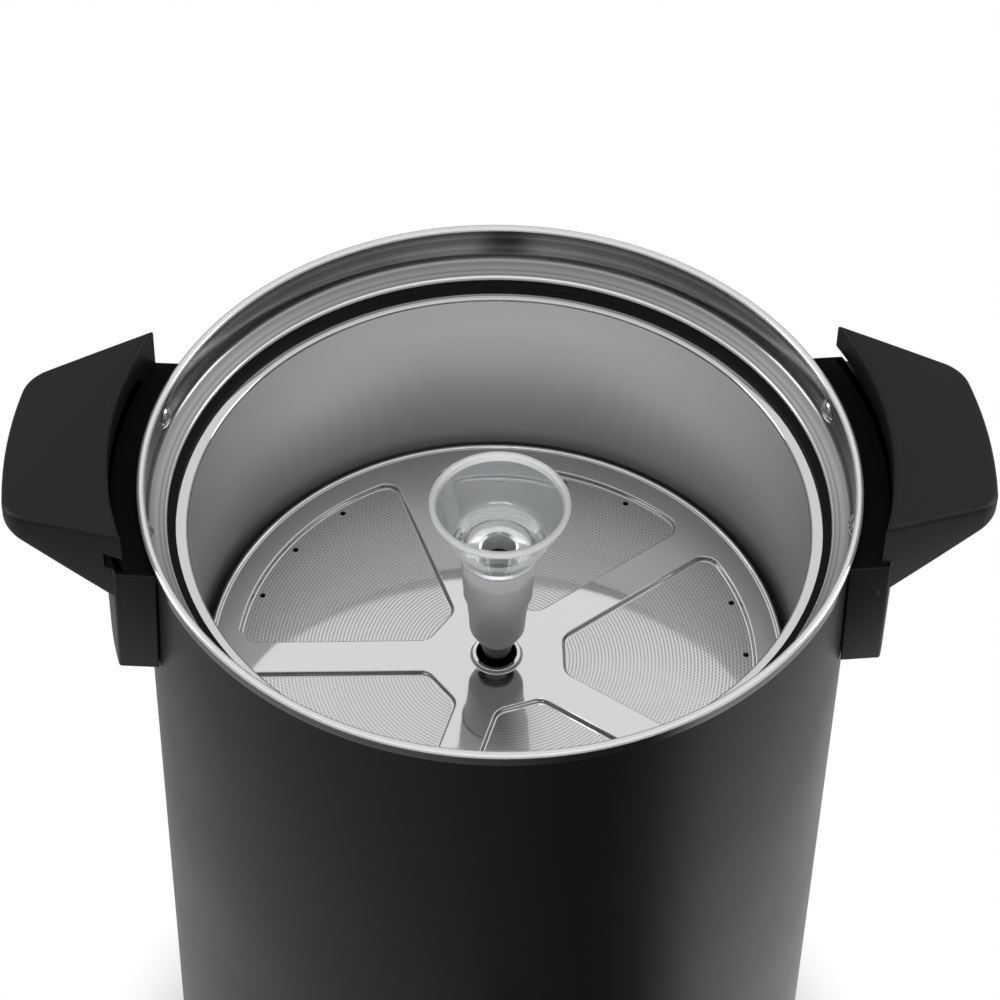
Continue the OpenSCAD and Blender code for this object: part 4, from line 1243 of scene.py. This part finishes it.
    def face(self) -> Mesh:
        """The cover's top between its edge and its collar, with the sunk sectors.

        Returns:
            Its mesh.
        """
        bm = bmesh.new()
        place = Matrix.Translation((0, 0, self.cover_z * MM))
        for radius in (self.hub_r, self.cover_r - self.edge_w):
            bmesh.ops.create_circle(bm, segments=LARGE_TURN, radius=radius * MM, matrix=place)
        turns = [
            Matrix.Rotation(math.pi + math.tau * (i + 0.5) / self.spokes, 3, "Z")
            for i in range(self.spokes)]
        brims = [self.brim(bm, turn) for turn in turns]
        bmesh.ops.triangle_fill(bm, use_beauty=True, edges=bm.edges, normal=(0, 0, 1))
        for turn, brim in zip(turns, brims):
            self.sink(bm, turn, brim)
        bmesh.ops.recalc_face_normals(bm, faces=bm.faces)
        if sum(f.normal.z for f in bm.faces) < 0:
            bmesh.ops.reverse_faces(bm, faces=bm.faces)
        whole = list(bm.verts) + list(bm.edges) + list(bm.faces)
        under = bmesh.ops.duplicate(bm, geom=whole)["geom"]
        bmesh.ops.translate(bm, verts=only(under, Vert), vec=(0, 0, -self.cover_t * MM))
        bmesh.ops.reverse_faces(bm, faces=only(under, Face))
        return bm

    def brim(self, bm: Mesh, turn: Matrix) -> list[Vert]:
        """Adds the closed line round one sector in the cover's top.

        Args:
            bm: The cover's mesh.
            turn: Turn of the sector round the axis.

        Returns:
            Its points in order.
        """
        verts = [bm.verts.new(turn @ Vector((x, y, self.cover_z)) * MM) for x, y in self.sector(0)]
        for pair in zip(verts, verts[1:] + verts[:1]):
            bm.edges.new(pair)
        return verts

    def sink(self, bm: Mesh, turn: Matrix, ring: list[Vert]) -> None:
        """Presses one sector down with a rounded wall and closes its pierced floor round the vents.

        Args:
            bm: The cover's mesh.
            turn: Turn of the sector round the axis.
            ring: The sector's points in the cover's top.
        """
        for inset, drop in self.press:
            made = bmesh.ops.extrude_edge_only(bm, edges=ring_edges(bm, ring))["geom"]
            fresh = set(only(made, Vert))
            ring = [next(e.other_vert(v) for e in v.link_edges if e.other_vert(v) in fresh) for v in ring]
            for vert, (x, y) in zip(ring, self.sector(inset)):
                vert.co = turn @ Vector((x, y, self.cover_z - drop)) * MM
        rims = ring_edges(bm, ring)
        vent = Vector((self.cover_r - self.vent_in, 0, self.cover_z - self.press[-1][1]))
        for angle in (-self.vent_turn, 0, self.vent_turn):
            spot = Matrix.Rotation(math.radians(angle), 3, "Z") @ vent
            verts = bmesh.ops.create_circle(
                bm, segments=16, radius=self.vent_r * MM,
                matrix=Matrix.Translation(turn @ spot * MM))["verts"]
            rims += list({e for v in verts for e in v.link_edges})
        made = bmesh.ops.triangle_fill(bm, use_beauty=True, edges=rims, normal=(0, 0, 1))["geom"]
        for face in only(made, Face):
            face.material_index = 1


@dataclass
class Tap:
    """The lever tap on the front: its body, bonnet, lever and closing spring.

    Attributes:
        axis_y: Distance of the valve's axis in front of the urn's axis.
        travel: How far the valve rises.
        nozzle_z: Lower end of the nozzle.
        nozzle_t: Thickness of the nozzle's wall at its lower and upper end.
        outlet_r: Radius of the outlet.
        seat_z: Height of the valve's seat.
        chamber_z: Lower and upper end of the valve chamber.
        chamber_r: Inside and outside radius of the chamber.
        water_z: Height of the waterway through the neck.
        water_r: Radius of the waterway.
        shank_r: Radius of the neck where it passes through the urn.
        neck_r: Radius of the neck in front of its flange.
        neck_y: Distance of the neck's ends from the urn's axis.
        flange_r: Radius of the flange.
        flange_y: Distance of the flange's faces from the urn's axis.
        top_z: Height of the bonnet's top.
        bonnet_h: Height of the bonnet.
        bonnet_t: Thickness of the bonnet's top.
        bonnet_r: Inside and outside radius of the bonnet.
        rod_hole: Radius of the valve rod's hole in the bonnet.
        wire_r: Radius of the spring's wire.
        coil_r: Radius of the spring's coils to the middle of the wire.
        coils: Number of the coils.
        pin_z: Height of the lever's pin.
        hub_r: Radius of the lever's hub.
        swing: How far the lever turns, in degrees.
        rise: Slope of its arm, in degrees.
        arm: Length of the arm from the pin to the middle of its rounded tip.
        tip_r: Radius of the tip.
        arm_under: Where the arm's underside begins, along the arm and across it.
        arm_over: Where the arm's top begins, along the arm and across it.
        lever_half: Half the width of the lever.
        lever_edge: Rounding of the lever's edges.
        slot_half: Half the width of its slot for the valve rod.
        slot_end: How far the slot reaches in front of the pin.
        pin_hole: Radius of the pin's hole.
    """

    axis_y: float = 141.1
    travel: float = 4
    nozzle_z: float = 70
    nozzle_t: Point = (2.4, 3.9)
    outlet_r: float = 6
    seat_z: float = 90
    chamber_z: Point = (84, 122)
    chamber_r: Point = (9.5, 12.5)
    water_z: float = 104
    water_r: float = 5.5
    shank_r: float = 8
    neck_r: float = 9.5
    neck_y: Point = (85.6, 131)
    flange_r: float = 15
    flange_y: Point = (117.1, 121.1)
    top_z: float = 125
    bonnet_h: float = 10.5
    bonnet_t: float = 3
    bonnet_r: Point = (12.6, 15)
    rod_hole: float = 3.05
    wire_r: float = 0.3
    coil_r: float = 5.6
    coils: int = 6
    pin_z: float = 133
    hub_r: float = 7.7
    swing: float = 40
    rise: float = 22
    arm: float = 43.4
    tip_r: float = 2.6
    arm_under: Point = (16, -4.5)
    arm_over: Point = (14, 5)
    lever_half: float = 7.5
    lever_edge: float = 1
    slot_half: float = 2.3
    slot_end: float = 13
    pin_hole: float = 1.35

    def build(self, dresser: Dresser) -> None:
        """Makes the three mouldings and the spring.

        Args:
            dresser: Where the pieces go.
        """
        plastic, slot = [PROPYLENE], "black_plastic"
        dresser.piece("tap_moulding", self.body(), plastic, ["tap_body"])
        dresser.piece("bonnet_moulding", self.bonnet(), plastic, ["tap_bonnet"])
        dresser.piece("lever_moulding", self.lever(), plastic, ["tap_lever"], "lever")
        low, high = (corner[2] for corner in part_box("tap_spring"))
        coil = dresser.piece(
            "spring_wire", self.spring(low, high), [PLATED], ["tap_spring"])
        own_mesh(coil)

    def body(self) -> Mesh:
        """The valve chamber with its nozzle, and the flanged neck that leads to it.

        Returns:
            Its mesh.
        """
        (inner, outer), (low, high), outlet = self.chamber_r, self.chamber_z, self.outlet_r
        thin, thick = (outlet + wall for wall in self.nozzle_t)
        chamber = lathe(rounded([
            (outlet, self.nozzle_z, 0), (thin, self.nozzle_z, 0.8), (thick, low, 1.1), (outer, low, 1.2),
            (outer, high, 0.5), (inner, high, 0.4), (inner, self.seat_z, 0.5), (outlet, self.seat_z, 0),
        ]), steps=SMALL_TURN)
        (back, front), (near, far), water = self.neck_y, self.flange_y, self.water_r
        neck = lathe(rounded([
            (water, back, 0), (self.shank_r, back, 0.6), (self.shank_r, near, 0),
            (self.flange_r, near, 0.5), (self.flange_r, far, 1), (self.neck_r, far, 1.4),
            (self.neck_r, front, 0), (water, front, 0)]), steps=SMALL_TURN)
        return join([
            move(chamber, (0, -self.axis_y, 0)), move(rotate(neck, 90, "X"), (0, 0, self.water_z))])

    def bonnet(self) -> Mesh:
        """The screw-on bonnet.

        Returns:
            Its mesh.
        """
        (inner, outer), top, hole = self.bonnet_r, self.top_z, self.rod_hole
        foot, under = top - self.bonnet_h, top - self.bonnet_t
        bm = lathe(rounded([
            (inner, foot, 0), (outer, foot, 0.4), (outer, top, 1.5), (hole, top, 0.3), (hole, under, 0),
            (inner, under, 0)]), steps=SMALL_TURN)
        return move(bm, (0, -self.axis_y, 0))

    def spring(self, low: float, high: float) -> Mesh:
        """The closing spring, wound from one wire.

        Args:
            low: Height of its lower end, in metres.
            high: Height of its upper end, in metres.

        Returns:
            Its mesh.
        """
        wire, steps = self.wire_r * MM, 24 * self.coils
        bm = bmesh.new()
        place = Matrix.Translation((self.coil_r * MM, 0, low + wire)) @ Matrix.Rotation(math.pi / 2, 4, "X")
        verts = bmesh.ops.create_circle(bm, cap_ends=True, segments=10, radius=wire, matrix=place)["verts"]
        bmesh.ops.spin(
            bm, geom=list(bm.faces) + list(bm.edges) + verts, cent=(0, 0, 0), axis=(0, 0, 1),
            dvec=(0, 0, (high - low - 2 * wire) / steps), angle=math.tau * self.coils, steps=steps)
        return tidy(move(bm, (0, -self.axis_y, 0)))

    def lever_side(self) -> list[Point]:
        """Side outline of the lever round its pin, x towards the user and y up.

        Returns:
            The points in order.
        """
        hub, slope = self.hub_r, math.radians(self.rise)
        # The cam's radius grows evenly with the turn, by the valve's travel in all
        rate = self.travel / math.radians(self.swing)
        cam = []
        for i in range(9):
            a, h = math.radians(self.swing * i / 8), hub + self.travel * i / 8
            cam.append((rate * math.cos(a) + h * math.sin(a), rate * math.sin(a) - h * math.cos(a)))
        along = Vector((math.cos(slope), math.sin(slope)))
        across = Vector((-along.y, along.x))
        under, over = (tuple(x * along + y * across) for x, y in (self.arm_under, self.arm_over))
        return (
            arc((0, 0), hub, 180, 270) + cam + [under]
            + arc(tuple(self.arm * along), self.tip_r, self.rise - 90, self.rise + 90) + [over]
            + arc((0, 0), hub, 80, 180)[:-1])

    def lever(self) -> Mesh:
        """The lever with its cam, the slot for the valve rod and the pin's hole.

        Returns:
            Its mesh.
        """
        half, level = self.slot_half, 0.1
        bm = plate(self.lever_side(), -self.lever_half, self.lever_half)
        edges = sharp_edges(bm, 60)
        flat = [e for e in edges if abs(e.verts[0].co.z - e.verts[1].co.z) < level * MM]
        soften(bm, flat, self.lever_edge, 4)
        past = 16
        slot = box((-past, -past, -half), (self.slot_end, past, half))
        bm = carve(carve(bm, slot), rod(self.pin_hole, 4 * self.lever_half, Matrix.Identity(4), 32))
        # The outline's x points to the front, its y up and its thickness across
        place = Matrix((
            (0, 0, -1, 0), (-1, 0, 0, -self.axis_y * MM), (0, 1, 0, self.pin_z * MM), (0, 0, 0, 1)))
        bmesh.ops.transform(bm, verts=bm.verts, matrix=place)
        return bm


@dataclass
class Base:
    """The base moulding with the panels of the switch and of the inlet.

    Attributes:
        outer_r: Radius of the moulding.
        ring_z: Lower and upper edge of the moulding.
        foot_r: Inside radius of its foot, round the base plate.
        shell_r: Inside radius of its upper wall, round the shell.
        seat_z: Height of the shell's seat.
        inner_r: Inside radius of its lower wall.
        ledge_r: Inside radius of the ledge for the base plate.
        ledge_z: Lower and upper face of the ledge.
        panel_y: Distance of the panels' faces from the axis.
        panel_z: Height of their middle.
        panel_t: Thickness of the panels.
        panel_half: Half the height of the panels.
        panel_edge: Rounding of their edges.
        panel_w: Width of the front and of the back panel.
        light_x: Distance of the light's hole from the middle of the front panel.
        light_r: Radius of that hole.
        light_cut: Length of its cutter.
        switch: Left end, right end and half height of the switch's hole.
        inlet: Left end, right end and half height of the inlet's hole.
        cut_y: Where the cutters of the holes begin and end, from the axis.
    """

    outer_r: float = 116.6
    ring_z: Point = (6, 44)
    foot_r: float = 108.9
    shell_r: float = 114.2
    seat_z: float = 36
    inner_r: float = 110.6
    ledge_r: float = 101.1
    ledge_z: Point = (9.5, 14)
    panel_y: float = 119.6
    panel_z: float = 25
    panel_t: float = 9
    panel_half: float = 12.5
    panel_edge: float = 1.2
    panel_w: Point = (61, 40)
    light_x: float = 16
    light_r: float = 5.1
    light_cut: float = 40
    switch: Corner = (-25.6, -6.4, 6.6)
    inlet: Corner = (-13.1, 13.1, 9.1)
    cut_y: Point = (100, 130)

    def build(self, dresser: Dresser) -> None:
        """Makes the moulding.

        Args:
            dresser: Where the piece goes.
        """
        (low, high), (below, above) = self.ring_z, self.ledge_z
        ring = lathe(rounded([
            (self.foot_r, low, 0), (self.outer_r, low, 2.4), (self.outer_r, high, 1.2),
            (self.shell_r, high, 0.3), (self.shell_r, self.seat_z, 0), (self.inner_r, self.seat_z, 0),
            (self.inner_r, above, 0.5), (self.ledge_r, above, 0.5), (self.ledge_r, below, 0),
            (self.foot_r, below, 0)]))
        panels = [self.panel(side, width) for side, width in zip((-1, 1), self.panel_w)]
        parts = [self.pierce(part) for part in [ring] + panels]
        dresser.piece("base_moulding", join(parts), [PHENOLIC], ["base_ring"])

    def panel(self, side: int, width: float) -> Mesh:
        """A flat panel that stands out of the ring.

        Args:
            side: -1 for the front, 1 for the back.
            width: Its width.

        Returns:
            Its mesh.
        """
        near, far = sorted((side * (self.panel_y - self.panel_t), side * self.panel_y))
        low, high = self.panel_z - self.panel_half, self.panel_z + self.panel_half
        bm = box((-width / 2, near, low), (width / 2, far, high))
        soften(bm, bm.edges, self.panel_edge, 3)
        return bm

    def pierce(self, bm: Mesh) -> Mesh:
        """Cuts the holes for the light, the switch and the inlet.

        Args:
            bm: The solid, which is freed.

        Returns:
            The pierced solid.
        """
        (near, far), z = self.cut_y, self.panel_z
        place = Matrix.Translation((self.light_x * MM, -(near + far) / 2 * MM, z * MM))
        light = rod(self.light_r, self.light_cut, place @ Matrix.Rotation(math.pi / 2, 4, "X"), 48)
        left, right, half = self.switch
        switch = box((left, -far, z - half), (right, -near, z + half))
        left, right, half = self.inlet
        inlet = box((left, near, z - half), (right, far, z + half))
        for cutter in (light, switch, inlet):
            bm = carve(bm, cutter)
        return bm


# Stage, with all sizes in metres


@dataclass
class Studio:
    """White sweep, soft light and the camera.

    Attributes:
        target: Middle of the rim.
        distance: Distance of the camera from it.
        elevation: Height of the camera above the horizon, in degrees.
        azimuth: Turn of the camera round the urn, in degrees.
        roll: Turn of the camera round its own line of sight, in degrees.
        lens: Focal length for a 36 mm sensor.
        rise: Angle by which the camera looks below the target, in degrees.
        floor_half: Half the width of the floor.
        contact: Reach of the soft shadow round the urn's foot.
        room: Height, from 0 at the nadir to 1 at the zenith, and grey of the room in reflections.
        fill: Share of the room's light that reaches matt surfaces.
        glow_left: Angles between which the floor in reflections brightens to the left, and how much.
        glow_right: The same to the right.
        glow_near: Distances between which that brightness falls, and how much.
    """

    target: Vector = field(default_factory=lambda: Vector((0, 0, 0.36)))
    distance: float = 1.114
    elevation: float = 46.9
    azimuth: float = -2.5
    roll: float = 1.3
    lens: float = 126.7
    rise: float = 0.47
    floor_half: float = 6
    contact: float = 0.04
    room: tuple[tuple[float, str], ...] = (
        (0.5, "#6a6a6a"), (0.62, "#c0c0c0"), (0.78, "#f2f2f2"), (0.89, "#eeeeee"), (0.95, "#d8d8d8"),
        (0.98, "#d0d0d0"))
    fill: float = 0.12
    glow_left: tuple[float, ...] = (0.35, -1.4, 0.08, 0.85)
    glow_right: tuple[float, ...] = (0.7, 1.1, 0.0, 1.1)
    glow_near: tuple[float, ...] = (0.3, 0.4, 1.2, 0.7)

    def camera(self) -> None:
        """Makes the camera and sets it as the scene's."""
        a, e = math.radians(self.azimuth), math.radians(self.elevation)
        back = Vector((math.sin(a) * math.cos(e), -math.cos(a) * math.cos(e), math.sin(e)))
        data = bpy.data.cameras.new("camera")
        data.lens, data.sensor_width, data.sensor_fit = self.lens, 36, "HORIZONTAL"
        data.clip_start, data.clip_end = 0.05, 50
        obj = put("camera", data)
        look = (-back).to_track_quat("-Z", "Y").to_matrix().to_4x4()
        tip = Matrix.Rotation(math.radians(-self.rise), 4, "X")
        turn = tip @ Matrix.Rotation(math.radians(self.roll), 4, "Z")
        obj.matrix_world = Matrix.Translation(self.target + back * self.distance) @ look @ turn
        bpy.context.scene.camera = obj

    def lamp(
        self, name: str, place: Sequence[float], size: Point, power: float, aim: Vector,
        mirrored: bool = True,
    ) -> None:
        """Adds a soft rectangular light.

        Args:
            name: Its name.
            place: Where it stands.
            size: Its width and height.
            power: Its power in watts.
            aim: The point that it faces.
            mirrored: Whether it is there for reflections alone, or else for matt surfaces alone.
        """
        data = bpy.data.lights.new(name, "AREA")
        data.shape, data.size, data.size_y, data.energy = "RECTANGLE", size[0], size[1], power
        obj = put(name, data)
        obj.location = place
        obj.rotation_euler = (aim - Vector(place)).to_track_quat("-Z", "Y").to_euler()
        obj.visible_camera = False
        obj.visible_glossy, obj.visible_diffuse = mirrored, not mirrored

    def rays(self, tree: Tree) -> tuple[Socket, Socket]:
        """Tells the kinds of light rays apart.

        Args:
            tree: A node tree.

        Returns:
            Whether a ray comes from the camera, clear plastic included, and whether from a reflection.
        """
        path = add(tree, "LightPath")
        seen = add(tree, "Math", {
            0: path.outputs["Is Camera Ray"], 1: path.outputs["Is Transmission Ray"]}, operation="MAXIMUM")
        return seen.outputs[0], path.outputs["Is Glossy Ray"]

    def world(self) -> None:
        """White to the camera, a graded room to reflections and a weak fill to matt surfaces."""
        world = bpy.data.worlds.new("room")
        bpy.context.scene.world = world
        world.use_nodes = True
        tree = world.node_tree
        back = tree.nodes["Background"]
        seen, glossy = self.rays(tree)
        way = add(tree, "SeparateXYZ", {0: add(tree, "TexCoord").outputs["Generated"]})
        height = add(tree, "MapRange", {"Value": way.outputs["Z"], "From Min": -1.0, "From Max": 1.0})
        ramp = add(tree, "ValToRGB", {"Fac": height})
        stops = ramp.color_ramp.elements
        lowest, *between, highest = self.room
        for stop, (position, colour) in zip(list(stops), (lowest, highest)):
            stop.position, stop.color = position, linear(colour)
        for position, colour in between:
            stops.new(position).color = linear(colour)
        mix = add(tree, "Mix", {0: seen, 6: ramp, 7: WHITE}, data_type="RGBA")
        tree.links.new(mix.outputs[2], back.inputs["Color"])
        mirrored = add(tree, "Math", {0: seen, 1: glossy}, operation="MAXIMUM")
        power = add(tree, "MapRange", {"Value": mirrored, "To Min": self.fill, "To Max": 1.0})
        tree.links.new(power.outputs[0], back.inputs["Strength"])

    def glow(self, tree: Tree) -> Socket:
        """Brightness of the floor to reflections: dim in front, lighter to both sides and near the urn.

        Args:
            tree: The floor's tree.

        Returns:
            The emission's strength.
        """
        place = add(tree, "TexCoord").outputs["Object"]
        flat = add(tree, "SeparateXYZ", {0: place})
        # Angle in radians from the front, positive to the right
        front = add(tree, "Math", {0: flat.outputs["Y"], 1: -1.0}, operation="MULTIPLY")
        around = add(tree, "Math", {0: flat.outputs["X"], 1: front}, operation="ARCTAN2")
        away = add(tree, "VectorMath", {0: place}, operation="LENGTH").outputs["Value"]
        left = add(tree, "MapRange", {"Value": around, **dict(zip(RANGE, self.glow_left))})
        right = add(
            tree, "MapRange", {"Value": around, **dict(zip(RANGE, self.glow_right))},
            interpolation_type="SMOOTHSTEP")
        fade = add(tree, "MapRange", {"Value": away, **dict(zip(RANGE, self.glow_near))})
        sides = add(tree, "Math", {0: left, 1: right}, operation="ADD")
        return add(tree, "Math", {0: sides, 1: fade}, operation="MULTIPLY").outputs[0]

    def floor(self) -> None:
        """A pale floor that the camera sees as plain white, with a soft shadow where the urn stands."""
        bm = bmesh.new()
        bmesh.ops.create_grid(bm, x_segments=1, y_segments=1, size=self.floor_half)
        obj = put("floor", settle(bm, "floor"))
        material = bpy.data.materials.new("pale floor")
        material.use_nodes = True
        tree = material.node_tree
        shader = tree.nodes["Principled BSDF"]
        shader.inputs["Base Color"].default_value = linear("#c9c9c9")
        shader.inputs["Roughness"].default_value = 0.9
        seen, glossy = self.rays(tree)
        shadow = add(tree, "AmbientOcclusion", {"Distance": self.contact}).outputs["AO"]
        white = add(tree, "Emission", {"Color": WHITE, "Strength": shadow})
        dim = add(tree, "Emission", {"Color": linear("#d0d0d0"), "Strength": self.glow(tree)})
        other = add(tree, "MixShader", {0: glossy, 1: shader, 2: dim})
        mix = add(tree, "MixShader", {0: seen, 1: other, 2: white})
        tree.links.new(mix.outputs[0], tree.nodes["Material Output"].inputs["Surface"])
        obj.data.materials.append(material)

    def build(self) -> None:
        """Sets the stage."""
        bpy.context.scene.view_settings.view_transform = "Standard"
        self.world()
        self.floor()
        self.lamp("key", (-0.1, -1.7, 1.1), (1.8, 0.6), 34, self.target, mirrored=False)
        self.lamp("top", (0.1, 0.5, 1.9), (1.4, 0.9), 8, self.target, mirrored=False)
        for name, x in (("left", -1.6), ("right", 1.6)):
            self.lamp(name, (x, 0.3, 0.6), (0.6, 1.4), 7, Vector((0, 0, 0.2)))
        self.camera()


def main() -> None:
    """Builds the looks and the stage."""
    logging.basicConfig(level=logging.INFO)
    dresser = Dresser()
    Vessel().build(dresser)
    for side, angle in (("right", 4.0), ("left", 176.0)):
        Handle(side, angle).build(dresser)
    for assembly in (BrewSet(), Tap(), Base()):
        assembly.build(dresser)
    dresser.dress_nodes()
    Studio().build()
    LOG.info("%d pieces made", len(dresser.made))


if __name__ == "__main__":
    main()
